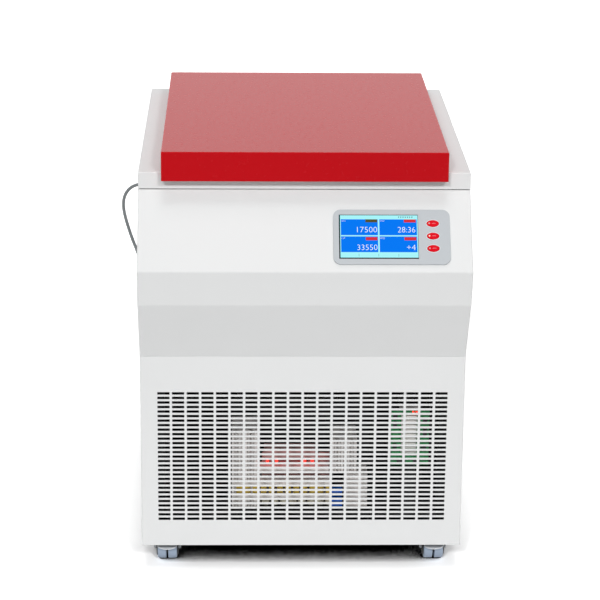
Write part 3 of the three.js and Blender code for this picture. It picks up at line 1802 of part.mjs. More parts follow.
addPiece("compressor", buildCompressor(), blackPaint);
addPiece("condenser_core", buildCondenser(), aluminium);
addPiece("fan_shroud", buildShroud(), blackPaint);
addPiece("fan_blades", buildFan(), darkPlastic);
addPiece("suction_line", buildSuctionLine(), copper);
addPiece("liquid_line", buildLiquidLine(), copper);
addPiece("filter_drier", buildDrier(), copper);
addPiece("motor_converter", buildConverter(), aluminium);
addPiece("control_board", buildControlBoard(), greenBoard);
addPiece("switch_frame", buildSwitchFrame(), darkPlastic);
addPiece("power_rocker", buildRocker(), darkPlastic);

addPiece("cord_gland", buildGland(), darkPlastic);
addPiece("mains_cord", buildCord(), cordGrey);
addPiece("cord_coil", buildCoil(), cordGrey);
addPiece("coil_tie", buildTie(), darkPlastic);
addPiece("mains_plug", buildPlug(), darkPlastic);

export default part;
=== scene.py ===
"""A refrigerated floor-standing centrifuge, dressed over its CAD frame.

Sizes are in millimetres and in the frame's own axes, with X to the right, Y to the back and Z up.
Meshes are stored in metres, as the frame is.
"""

import logging
from collections.abc import Callable, Sequence
from dataclasses import dataclass
from enum import Enum
from math import cos, pi, radians, sin

import bmesh
import bpy
from mathutils import Matrix, Vector


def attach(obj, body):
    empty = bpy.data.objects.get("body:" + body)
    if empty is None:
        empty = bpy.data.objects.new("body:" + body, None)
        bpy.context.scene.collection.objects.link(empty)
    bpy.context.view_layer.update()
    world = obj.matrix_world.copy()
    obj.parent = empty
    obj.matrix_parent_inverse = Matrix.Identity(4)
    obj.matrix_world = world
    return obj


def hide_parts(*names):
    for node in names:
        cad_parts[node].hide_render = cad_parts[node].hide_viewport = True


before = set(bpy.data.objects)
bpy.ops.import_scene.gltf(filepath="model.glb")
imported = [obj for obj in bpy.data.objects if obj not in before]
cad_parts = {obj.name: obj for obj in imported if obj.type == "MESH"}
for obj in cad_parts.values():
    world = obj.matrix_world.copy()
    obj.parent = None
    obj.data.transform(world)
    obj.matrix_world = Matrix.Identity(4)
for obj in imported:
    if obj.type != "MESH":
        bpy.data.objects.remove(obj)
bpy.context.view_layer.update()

log = logging.getLogger("centrifuge")

MM = 0.001
ROUND_STEPS = 64
SMALL_STEPS = 32
OVERRUN = 5.0

Point2 = tuple[float, float]
Point3 = tuple[float, float, float]
Span = tuple[float, float]
Area = tuple[Span, Span]
Box = tuple[Span, Span, Span]
Profile = tuple[Point2, ...]
Piece = bpy.types.Object
Tree = bpy.types.NodeTree
Node = bpy.types.Node
Socket = bpy.types.NodeSocket
Source = Node | Socket
Inputs = dict[str, object]


# Small helpers for colours, nodes and outlines

def linear(code: str) -> tuple[float, float, float, float]:
    """Turn an sRGB hex code into a linear colour.

    Args:
        code: The colour as #RRGGBB.

    Returns:
        Red, green, blue and an alpha of 1.
    """
    channels = [int(code[i:i + 2], 16) / 255 for i in (1, 3, 5)]
    lit = [c / 12.92 if c <= 0.04045 else ((c + 0.055) / 1.055) ** 2.4 for c in channels]
    return (lit[0], lit[1], lit[2], 1.0)


def add(
    tree: Tree, kind: str, inputs: dict[str | int, object] | None = None, **settings: object
) -> Node:
    """Add a node with its inputs and its settings.

    Args:
        tree: The shader or geometry tree that gets the node.
        kind: The node's type, which for a shader node may leave out its prefix.
        inputs: A value, a socket or a node's first output, for each input by name or number.
        settings: Properties of the node.

    Returns:
        The new node.
    """
    node = tree.nodes.new(kind if "Node" in kind else "ShaderNode" + kind)
    for key, value in settings.items():
        setattr(node, key, value)
    for key, value in (inputs or {}).items():
        source = value.outputs[0] if isinstance(value, Node) else value
        if isinstance(source, Socket):
            tree.links.new(source, node.inputs[key])
        else:
            node.inputs[key].default_value = source
    return node


def arc(centre: Point2, radius: float, start: float, end: float, steps: int) -> list[Point2]:
    """Return the points of an arc, its angles in degrees."""
    turn = [radians(start + (end - start) * i / steps) for i in range(steps + 1)]
    return [(centre[0] + radius * cos(a), centre[1] + radius * sin(a)) for a in turn]


def circle(centre: Point2, radius: float, steps: int = ROUND_STEPS) -> list[Point2]:
    """Return the points of a circle."""
    return arc(centre, radius, 0, 360, steps)[:-1]


def rectangle(u: Span, v: Span) -> list[Point2]:
    """Return the corners of a rectangle."""
    return [(u[0], v[0]), (u[1], v[0]), (u[1], v[1]), (u[0], v[1])]


def rounded(u: Span, v: Span, corner: float, steps: int = 6) -> list[Point2]:
    """Return the outline of a rectangle with round corners."""
    left, right, low, high = u[0] + corner, u[1] - corner, v[0] + corner, v[1] - corner
    centres = ((right, low), (right, high), (left, high), (left, low))
    return [p for i, c in enumerate(centres) for p in arc(c, corner, 90 * i - 90, 90 * i, steps)]


def about(centre: float, half: float) -> Span:
    """Return the span of a half width either side of a centre."""
    return (centre - half, centre + half)


def between(a: float, b: float) -> Span:
    """Return the span between two places in either order."""
    return (min(a, b), max(a, b))


# Finishes

@dataclass(frozen=True)
class Finish:
    """A surface finish; the base class is plain and each kind below adds its own pattern."""

    name: str
    slot: str
    colour: str
    roughness: float = 0.5
    metallic: float = 0.0
    ior: float = 1.5

    def pattern(self, at: Source) -> Inputs:
        """Return the shader inputs that vary over the surface.

        Args:
            at: Object coordinates, in metres.

        Returns:
            Nodes, sockets or values by the name of the shader's input.
        """
        return {}

    def material(self) -> bpy.types.Material:
        """Return this finish's material, made once."""
        found = MATERIALS.get(self)
        if found is None:
            found = MATERIALS[self] = bpy.data.materials.new(self.name)
            found.use_nodes = True
            tree = found.node_tree
            tree.nodes.clear()
            at = add(tree, "TexCoord").outputs["Object"]
            values = {
                "Base Color": linear(self.colour), "Roughness": self.roughness,
                "Metallic": self.metallic, "Coat Weight": 0.0,
            }
            if not self.metallic:
                values["IOR"] = self.ior
            shader = add(tree, "BsdfPrincipled", {**values, **self.pattern(at)})
            add(tree, "OutputMaterial", {"Surface": shader})
        return found

    def cloud(self, at: Source, size: float, low: float, high: float, detail: float = 2.0) -> Node:
        """Return a soft random value between two limits, with patches of a size in millimetres."""
        noise = add(
            at.id_data, "TexNoise", {"Vector": at, "Scale": 1 / (size * MM), "Detail": detail}
        )
        limits = {"From Min": 0.3, "From Max": 0.7, "To Min": low, "To Max": high}
        return add(at.id_data, "MapRange", {"Value": noise, **limits}, clamp=False)

    def gloss(self, at: Source, size: float, less: float, more: float, detail: float = 2.0) -> Node:
        """Return a roughness that varies in patches by so much less and more."""
        return self.cloud(at, size, self.roughness - less, self.roughness + more, detail)

    def toned(self, factor: Source, other: str) -> Socket:
        """Return the finish's colour mixed with another by a factor."""
        colours = {0: factor, 6: linear(self.colour), 7: linear(other)}
        return add(factor.id_data, "Mix", colours, data_type="RGBA").outputs[2]

    def relief(self, height: Source, depth: float) -> Node:
        """Return a normal bent by a height of that depth in millimetres."""
        bend = {"Height": height, "Distance": depth * MM, "Strength": 1.0}
        return add(height.id_data, "Bump", bend)


MATERIALS: dict[Finish, bpy.types.Material] = {}


@dataclass(frozen=True)
class PowderCoat(Finish):
    """Sprayed and baked paint on sheet steel: even, with a fine orange peel in its gloss."""

    peel: float = 5.0
    peel_depth: float = 0.02
    shade: str = "#E8E9E9"

    def pattern(self, at: Source) -> Inputs:
        """Return orange peel, a faint change of tone and an uneven gloss."""
        tone = self.cloud(at, 220, 0.0, 0.35)
        peel = self.cloud(at, self.peel, 0.0, 1.0, 1.0)
        return {
            "Base Color": self.toned(tone, self.shade),
            "Roughness": self.gloss(at, 9, 0.04, 0.04),
            "Normal": self.relief(peel, self.peel_depth),
        }


@dataclass(frozen=True)
class Moulded(Finish):
    """Injection-moulded plastic: a spark-eroded grain that breaks the gloss up evenly."""

    grain: float = 0.7
    depth: float = 0.02

    def pattern(self, at: Source) -> Inputs:
        """Return the grain and a gloss that varies a little."""
        grain = self.cloud(at, self.grain, 0.0, 1.0, 1.0)
        return {
            "Roughness": self.gloss(at, 14, 0.05, 0.05), "Normal": self.relief(grain, self.depth)
        }


@dataclass(frozen=True)
class Scored(Finish):
    """Bare metal whose fine tool marks, or scratches, show in its gloss and its relief."""

    mark: float = 0.9
    depth: float = 0.006
    sheen: Span = (-0.07, 0.09)

    def scored(self, at: Source) -> Inputs:
        """Return the marks, which follow the coordinates given."""
        lines = self.cloud(at, self.mark, 0.0, 1.0)
        low, high = self.sheen
        gloss = {"To Min": self.roughness + low, "To Max": self.roughness + high}
        return {
            "Roughness": add(at.id_data, "MapRange", {"Value": lines, **gloss}),
            "Normal": self.relief(lines, self.depth),
        }


@dataclass(frozen=True)
class Brushed(Scored):
    """Sheet metal rubbed one way with a belt: long fine scratches that stretch its highlights."""

    stretch: Point3 = (0.02, 1.0, 1.0)

    def pattern(self, at: Source) -> Inputs:
        """Return scratches along one axis."""
        return self.scored(add(at.id_data, "Mapping", {"Vector": at, "Scale": self.stretch}))


@dataclass(frozen=True)
class Turned(Scored):
    """Metal turned on a lathe: fine rings about the spindle that make a fan-shaped glint."""

    mark: float = 0.8
    sheen: Span = (-0.06, 0.08)
    centre: Point3 = (0.0, 10.0, 0.0)

    def pattern(self, at: Source) -> Inputs:
        """Return rings about the upright axis through the centre."""
        tree = at.id_data
        away = [-c * MM for c in self.centre]
        shifted = add(tree, "Mapping", {"Vector": at, "Location": away, "Scale": (1, 1, 0)})
        radius = add(tree, "VectorMath", {0: shifted}, operation="LENGTH").outputs["Value"]
        height = add(tree, "SeparateXYZ", {0: at}).outputs[2]
        return self.scored(add(tree, "CombineXYZ", {0: radius, 1: height}))


@dataclass(frozen=True)
class Plated(Finish):
    """Zinc plate over pressed steel: cloudy, with a faint yellow and blue bloom."""

    bloom: str = "#9FA6B2"

    def pattern(self, at: Source) -> Inputs:
        """Return the bloom and an uneven gloss."""
        cloud = self.cloud(at, 7, 0.0, 1.0, 4.0)
        return {
            "Base Color": self.toned(cloud, self.bloom), "Roughness": self.gloss(at, 3, 0.08, 0.1)
        }


@dataclass(frozen=True)
class Drawn(Finish):
    """Drawn copper tube: bright, with brown tarnish in patches."""

    tarnish: str = "#8A4E2E"

    def pattern(self, at: Source) -> Inputs:
        """Return the tarnish and the gloss that it dulls."""
        patches = self.cloud(at, 16, 0.0, 0.8, 5.0)
        return {
            "Base Color": self.toned(patches, self.tarnish),
            "Roughness": self.gloss(at, 16, 0.08, 0.15, 5.0),
        }


@dataclass(frozen=True)
class Rubber(Finish):
    """Moulded rubber or soft PVC: matt, with a fine even grain."""

    grain: float = 1.1

    def pattern(self, at: Source) -> Inputs:
        """Return the grain and dusty patches in the gloss."""
        grain = self.cloud(at, self.grain, 0.0, 1.0)
        return {"Roughness": self.gloss(at, 10, 0.08, 0.08), "Normal": self.relief(grain, 0.03)}


@dataclass(frozen=True)
class CastFoam(Finish):
    """Foam cast in place: cream, with the dimples of its burst skin."""

    cell: float = 3.0

    def pattern(self, at: Source) -> Inputs:
        """Return the dimples."""
        cells = add(at.id_data, "TexVoronoi", {"Vector": at, "Scale": 1 / (self.cell * MM)})
        return {"Normal": self.relief(cells.outputs["Distance"], 0.4)}


@dataclass(frozen=True)
class CircuitBoard(Finish):
    """Solder-masked glass laminate: green lacquer over a net of copper tracks."""

    track: float = 3.2
    light: str = "#3FA566"

    def pattern(self, at: Source) -> Inputs:
        """Return the tracks as lighter lines that stand a little proud."""
        tree = at.id_data
        turned = add(tree, "Mapping", {"Vector": at, "Rotation": (radians(90), 0, 0)})
        net = add(
            tree, "TexVoronoi",
            {"Vector": turned, "Scale": 1 / (self.track * MM), "Randomness": 0.7},
            distance="CHEBYCHEV", feature="F1",
        )
        edge = {"Value": net.outputs["Distance"], "From Min": 0.32, "From Max": 0.4}
        line = add(tree, "MapRange", edge)
        return {"Base Color": self.toned(line, self.light), "Normal": self.relief(line, 0.05)}


@dataclass(frozen=True)
class Lit(Finish):
    """A part of a display or a lamp that shines by itself, under clear glass or plastic."""

    glow: float = 1.0
    unlit: str = "#060709"

    def pattern(self, at: Source) -> Inputs:
        """Return the glow, and a gloss that varies a little as wiped glass does."""
        return {
            "Base Color": linear(self.unlit), "Emission Color": linear(self.colour),
            "Emission Strength": self.glow, "Roughness": self.gloss(at, 20, 0.0, 0.06),
        }


# Baked powder paint, off-white, with a satin gloss
CABINET = PowderCoat("powder_coated_white", "white_enamel", "#EBECEC", 0.42)
# Red two-pack lacquer on the lid, smoother and glossier than the powder paint
LID_LACQUER = PowderCoat(
    "red_lacquer", "red_enamel", "#C40F19", 0.24, ior=1.26, peel=14.0, peel_depth=0.001,
    shade="#C10E18",
)
# ABS of the lid's liner and the display's surround
SURROUND = Moulded("moulded_grey_abs", "grey_plastic", "#C3C8CC", 0.48)
LINER = Moulded("moulded_liner_abs", "grey_plastic", "#D6D8DA", 0.42, grain=1.2)
# Nylon and ABS in black
BLACK_PLASTIC = Moulded("moulded_black_nylon", "dark_plastic", "#1B1D20", 0.45)
# Red keys of translucent polycarbonate, their pale rings and the marks printed on them
KEY_RED = Moulded("moulded_red_polycarbonate", "red_key", "#E2041C", 0.35, grain=1.5, depth=0.004)
KEY_RIM = Moulded("moulded_white_polycarbonate", "red_key", "#E9EEF1", 0.35)
KEY_MARK = Moulded("printed_pink_mark", "red_key", "#F2A4AA", 0.4)
# The display's black mask and its lit colours
DISPLAY_FRAME = Lit("display_black_mask", "screen", "#10222B", 0.1)
DISPLAY_PALE = Lit("display_pale_cyan", "screen", "#A8F6FA", 0.1)
DISPLAY_BLUE = Lit("display_blue", "screen", "#0078F5", 0.1)
DISPLAY_WHITE = Lit("display_white", "screen", "#F4FBFF", 0.1)
DISPLAY_OLIVE = Lit("display_olive", "screen", "#57512B", 0.1)
DISPLAY_RED = Lit("display_red", "screen", "#D8323A", 0.1)
DISPLAY_DIM = Lit("display_dim", "screen", "#6F9DA1", 0.1)
# Light-emitting diodes
LAMP_RED = Lit("red_diode", "screen", "#FF2418", 0.2, glow=3.0)
LAMP_WHITE = Lit("white_diode", "screen", "#FFF3DC", 0.2, glow=1.1)
LAMP_FAINT = Lit("resting_diode", "screen", "#E3CFCB", 0.2, glow=0.8)
# Stainless sheet of the bowl, spun and brushed, and ground bar
STAINLESS = Turned("spun_stainless_steel", "stainless", "#C3C6CA", 0.24, 1.0)
SHAFT_STEEL = Turned("ground_steel", "stainless", "#C9CCD0", 0.2, 1.0, mark=0.5)
# Aluminium: turned and clear anodised, rolled, and cast
ROTOR_METAL = Turned("turned_anodised_aluminium", "aluminium", "#C9CCD1", 0.3, 1.0)
SHEET_METAL = Brushed("mill_finish_aluminium", "aluminium", "#BFC4C9", 0.38, 1.0)
COOL_BLOCK = Moulded("cast_heat_sink", "aluminium", "#E6E2DF", 0.5)
# Zinc-plated pressed steel
ZINC = Plated("zinc_plated_steel", "zinc_steel", "#B9BDC4", 0.34, 1.0)
# Refrigeration tube
COPPER = Drawn("drawn_copper_tube", "copper", "#C77F55", 0.3, 1.0)
# Stoved enamel on the compressor, the fan's shroud, the lock and the motor
BLACK_PAINT = PowderCoat(
    "black_stove_enamel", "black_paint", "#1A1B1D", 0.4, peel=2.0, peel_depth=0.03, shade="#232528"
)
# The base frame and the plates in the cabinet, black as painted shade over their zinc plating, so
# that the inside seen through the slots stays dark
FRAME_SHADE_BLACK = PowderCoat(
    "black_painted_frame", "zinc_steel", "#111214", 0.5, peel=2.0, peel_depth=0.03, shade="#17181B"
)
# Bright passivated plate of the brake pedals, nearly white
PEDAL_PLATE = PowderCoat(
    "bright_passivated_plate", "zinc_steel", "#DFE3E8", 0.3, peel=2.0, peel_depth=0.005,
    shade="#D3D8DE",
)
# Rubber of the chamber's gasket and the motor's mounts, and the casters' tyres and hubs
GASKET = Rubber("moulded_epdm", "black_rubber", "#17181A", 0.62)
TREAD = Rubber("grey_polyurethane_tyre", "grey_rubber", "#A7B6CA", 0.5)
HUB = Moulded("moulded_grey_nylon", "grey_rubber", "#8E9DB3", 0.45)
# Polyurethane foam round the chamber
FOAM = CastFoam("cast_polyurethane_foam", "foam", "#D9CFA8", 0.8)
# Circuit boards and what stands on them
BOARD = CircuitBoard("solder_masked_laminate", "green_board", "#0C8A45", 0.35)
BOARD_BLUE = Moulded("moulded_blue_terminal", "green_board", "#1464D2", 0.4)
BOARD_BROWN = Moulded("phenolic_board", "green_board", "#B88B88", 0.5)
BOARD_CREAM = Moulded("film_capacitor", "green_board", "#D8D3BE", 0.45)
BOARD_GOLD = Moulded("yellow_transformer_tape", "green_board", "#C7A83F", 0.5)
# PVC of the mains lead
SHEATH = Rubber("pvc_cord_sheath", "cord_grey", "#8B9092", 0.42, grain=2.5)


# Meshes

class Axis(Enum):
    """The axis along which a section is drawn out or turned."""

    X = 0
    Y = 1
    Z = 2

    def point(self, u: float, v: float, along: float) -> Vector:
        """Return a point from its place in the section and along the axis."""
        place = [u, v]
        place.insert(self.value, along)
        return Vector(place)


class Form:
    """A mesh in the making, in millimetres."""

    def __init__(self) -> None:
        """Start with an empty mesh."""
        self.mesh = bmesh.new()

    def face(self, *corners: Point3) -> None:
        """Add one flat face."""
        self.mesh.faces.new([self.mesh.verts.new(c) for c in corners])

    def flat(
        self, axis: Axis, along: float, *outlines: Sequence[Point2]
    ) -> list[bmesh.types.BMFace]:
        """Fill the first outline, but for those inside it.

        Args:
            axis: The axis that the faces stand across.
            along: Their place along it.
            outlines: The outer outline and any holes in it.

        Returns:
            The new faces.
        """
        edges, corners = [], []
        for loop in outlines:
            corners = [self.mesh.verts.new(axis.point(u, v, along)) for u, v in loop]
            edges += [self.mesh.edges.new(pair) for pair in zip(corners, corners[1:] + corners[:1])]
        if len(outlines) == 1:
            return [self.mesh.faces.new(corners)]
        filled = bmesh.ops.triangle_fill(self.mesh, use_beauty=True, edges=edges)["geom"]
        return [f for f in filled if isinstance(f, bmesh.types.BMFace)]

    def draw(self, faces: list[bmesh.types.BMFace], way: Vector) -> "Form":
        """Draw faces out by a way."""
        drawn = bmesh.ops.extrude_face_region(self.mesh, geom=faces)["geom"]
        moved = [v for v in drawn if isinstance(v, bmesh.types.BMVert)]
        bmesh.ops.translate(self.mesh, verts=moved, vec=way)
        return self

    def prism(
        self, outline: Sequence[Point2], axis: Axis, span: Span,
        holes: Sequence[Sequence[Point2]] = (),
    ) -> "Form":
        """Draw an outline out along an axis.

        Args:
            outline: The section's corners in order.
            axis: The axis that it is drawn along.
            span: Where it starts and ends.
            holes: Outlines of the holes through it.

        Returns:
            The form itself.
        """
        faces = self.flat(axis, span[0], outline, *holes)
        return self.draw(faces, axis.point(0, 0, span[1] - span[0]))

    def box(self, x: Span, y: Span, z: Span) -> "Form":
        """Add a box."""
        return self.prism(rectangle(x, y), Axis.Z, z)

    def boxes(self, boxes: Sequence[Box]) -> "Form":
        """Add several boxes."""
        for spans in boxes:
            self.box(*spans)
        return self

    def lathe(
        self, profile: Sequence[Point2], centre: Point2 = (0, 0), axis: Axis = Axis.Z,
        steps: int = ROUND_STEPS, ring: bool = False,
    ) -> "Form":
        """Turn a profile about an axis.

        Args:
            profile: Points of radius and place along the axis.
            centre: The axis's place in the section.
            axis: The axis's direction.
            steps: Faces round the axis.
            ring: Whether the profile closes on itself, off the axis.

        Returns:
            The form itself.
        """
        mesh = self.mesh
        rings = []
        for radius, along in profile:
            points = circle(centre, radius, steps) if radius > 1e-6 else [centre]
            rings.append([mesh.verts.new(axis.point(u, v, along)) for u, v in points])
        for near, far in zip(rings, [*rings[1:], *rings[:1]] if ring else rings[1:]):
            for k in range(steps):
                n = (k + 1) % steps
                corners = [
                    near[k % len(near)], near[n % len(near)], far[n % len(far)], far[k % len(far)]
                ]
                unique = list(dict.fromkeys(corners))
                if len(unique) > 2:
                    mesh.faces.new(unique)
        return self

    def cylinder(
        self, centre: Point2, radius: float, span: Span, axis: Axis = Axis.Z,
        steps: int = ROUND_STEPS, edge: float = 0.0,
    ) -> "Form":
        """Add a cylinder, its rims broken by a chamfer of a given size."""
        low, high = between(*span)
        rims = [(radius, low + edge), (radius, high - edge)] if edge else []
        profile = [(0, low), (radius - edge, low), *rims, (radius - edge, high), (0, high)]
        return self.lathe(profile, centre, axis, steps)

    def loft(self, rings: Sequence[Sequence[Vector]]) -> "Form":
        """Join rings of points with walls and close both ends.

        Args:
            rings: The rings in order, all with as many points.

        Returns:
            The form itself.
        """
        rows = [[self.mesh.verts.new(p) for p in ring] for ring in rings]
        for near, far in zip(rows, rows[1:]):
            for k in range(len(near)):
                n = (k + 1) % len(near)
                self.mesh.faces.new((near[k], near[n], far[n], far[k]))
        self.mesh.faces.new(rows[0][::-1])
        self.mesh.faces.new(rows[-1])
        return self

    def tube(self, path: Sequence[Vector], radius: float, sides: int = 16) -> "Form":
        """Add a round tube along a path, closed at both ends.

        Args:
            path: The points of its centre line.
            radius: Its outer radius.
            sides: Faces round it.

        Returns:
            The form itself.
        """
        ways = [(b - a).normalized() for a, b in zip(path, path[1:])]
        ways = [ways[0], *[(a + b).normalized() for a, b in zip(ways, ways[1:])], ways[-1]]
        side = ways[0].orthogonal().normalized()
        angles = [2 * pi * k / sides for k in range(sides)]
        rings = []
        for at, way in zip(path, ways):
            side = (side - way * side.dot(way)).normalized()
            other = way.cross(side)
            rings.append([at + (side * cos(a) + other * sin(a)) * radius for a in angles])
        return self.loft(rings)

    def soften(
        self, width: float, choose: Callable[[bmesh.types.BMEdge], bool] | None = None,
        segments: int = 3, angle: float = 30.0,
    ) -> "Form":
        """Round the sharp edges, or those that a test picks.

        Args:
            width: The reach of the rounding from the edge.
            choose: Picks among the edges.
            segments: Faces across the rounding.
            angle: Only edges with a corner of over this many degrees are rounded.

        Returns:
            The form itself.
        """
        bmesh.ops.recalc_face_normals(self.mesh, faces=self.mesh.faces)
        sharp = [
            e for e in self.mesh.edges
            if len(e.link_faces) == 2 and e.calc_face_angle() > radians(angle)
            and (choose is None or choose(e))
        ]
        bmesh.ops.bevel(
            self.mesh, geom=sharp, offset=width, segments=segments, profile=0.5,
            affect="EDGES", clamp_overlap=True,
        )
        return self

    def turn(self, matrix: Matrix) -> "Form":
        """Move and turn what is made so far, by a matrix in millimetres."""
        bmesh.ops.transform(self.mesh, matrix=matrix, verts=self.mesh.verts)
        return self

    def made(self, name: str, finish: Finish | None = None, smooth: float = 35.0) -> Piece:
        """Close the form and return its object.

        Args:
            name: The piece's name.
            finish: What it is finished in; a form that only cuts has none.
            smooth: Corners under this angle, in degrees, are shaded as curves.

        Returns:
            The new object, at the origin, its mesh in metres.
        """
        bmesh.ops.remove_doubles(self.mesh, verts=self.mesh.verts, dist=0.001)
        bmesh.ops.recalc_face_normals(self.mesh, faces=self.mesh.faces)
        bmesh.ops.scale(self.mesh, vec=(MM, MM, MM), verts=self.mesh.verts)
        return shaded(stored(self.mesh, name, finish), smooth)

    def seat(
        self, name: str, finish: Finish, *nodes: str, body: str = "root", weighted: bool = False
    ) -> Piece:
        """Close the form and seat its piece, with its shading weighted by area where asked."""
        piece = self.made(name, finish)
        return seated(even(piece) if weighted else piece, *nodes, body=body)


def linked(name: str, data: bpy.types.ID) -> Piece:
    """Return a new object of the scene that shows some data."""
    piece = bpy.data.objects.new(name, data)
    bpy.context.scene.collection.objects.link(piece)
    return piece


def stored(mesh: bmesh.types.BMesh, name: str, finish: Finish | None) -> Piece:
    """Make an object of a mesh, and free the mesh.

    Args:
        mesh: The mesh, in metres.
        name: The object's name.
        finish: What it is finished in, if anything.

    Returns:
        The new object.
    """
    data = bpy.data.meshes.new(name)
    mesh.to_mesh(data)
    mesh.free()
    if finish:
        data.materials.append(finish.material())
    return linked(name, data)


def shaded(piece: Piece, smooth: float = 35.0) -> Piece:
    """Shade a piece smooth, but for corners over an angle in degrees."""
    piece.data.shade_smooth()
    piece.data.set_sharp_from_angle(angle=radians(smooth))
    return piece


def modified(piece: Piece, kind: str, **settings: object) -> bpy.types.Modifier:
    """Give a piece a modifier with its settings."""
    step = piece.modifiers.new(kind.lower(), kind)
    for key, value in settings.items():
        setattr(step, key, value)
    return step


def baked(piece: Piece) -> Piece:
    """Turn a piece and its modifiers into a plain mesh."""
    graph = bpy.context.evaluated_depsgraph_get()
    data = bpy.data.meshes.new_from_object(piece.evaluated_get(graph), depsgraph=graph)
    piece.modifiers.clear()
    piece.data = data
    data.name = piece.name
    return piece


def thickened(piece: Piece, thickness: float, offset: float) -> Piece:
    """Give a skin its thickness in millimetres, inwards for an offset of -1."""
    modified(piece, "SOLIDIFY", thickness=thickness * MM, offset=offset)
    return baked(piece)


def even(piece: Piece) -> Piece:
    """Weight a piece's shading by its large faces, so that flats stay flat beside roundings."""
    modified(piece, "WEIGHTED_NORMAL", keep_sharp=True)
    return baked(piece)


def carved(piece: Piece, *cutters: Form | Piece) -> Piece:
    """Cut forms or other pieces out of a piece, and delete them.

    Args:
        piece: The piece that is cut.
        cutters: What is cut out of it.

    Returns:
        The piece.
    """
    tools = [c.made("cutter") if isinstance(c, Form) else c for c in cutters]
    for tool in tools:
        modified(piece, "BOOLEAN", operation="DIFFERENCE", solver="EXACT", object=tool)
    baked(piece)
    for tool in tools:
        bpy.data.objects.remove(tool)
    return shaded(piece)


def joined(piece: Piece, other: Piece) -> Piece:
    """Add another mesh to a piece and delete its object.

    Args:
        piece: The piece that stays.
        other: The piece that it takes in.

    Returns:
        The first piece.
    """
    whole = bmesh.new()
    whole.from_mesh(piece.data)
    whole.from_mesh(other.data)
    bpy.data.objects.remove(other)
    whole.to_mesh(piece.data)
    whole.free()
    return piece


def seated(piece: Piece, *nodes: str, body: str = "root") -> Piece:
    """Make a piece ride on a body, in place of CAD nodes.

    Args:
        piece: The piece, in place.
        nodes: The CAD nodes that it stands for.
        body: The CAD body that carries it.

    Returns:
        The piece.
    """
    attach(piece, body)
    if nodes:
        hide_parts(*nodes)
    log.info("%s: %d faces", piece.name, len(piece.data.polygons))
    return piece


def softened(node: str, name: str, finish: Finish, width: float, body: str = "root") -> Piece:
    """Copy a CAD node, round its edges and seat it in the node's place.

    Args:
        node: The CAD node.
        name: The new piece's name.
        finish: What it is finished in.
        width: The rounding's reach in millimetres.
        body: The CAD body that carries it.

    Returns:
        The new piece.
    """
    source = bmesh.new()
    source.from_mesh(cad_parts[node].data)
    bmesh.ops.remove_doubles(source, verts=source.verts, dist=0.002 * MM)
    bmesh.ops.dissolve_limit(source, angle_limit=radians(1), verts=source.verts, edges=source.edges)
    piece = shaded(stored(source, name, finish), 30)
    modified(
        piece, "BEVEL", width=width * MM, segments=2, limit_method="ANGLE", angle_limit=radians(32)
    )
    return seated(even(piece), node, body=body)


def dress(node: str, finish: Finish) -> None:
    """Give a CAD node that stays in view a finish of its own."""
    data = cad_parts[node].data
    data.materials.clear()
    data.materials.append(finish.material())


# Patterns made by Geometry Nodes

class Layout(Enum):
    """How a pattern sets out its copies."""

    GRID = "grid"
    RING = "ring"


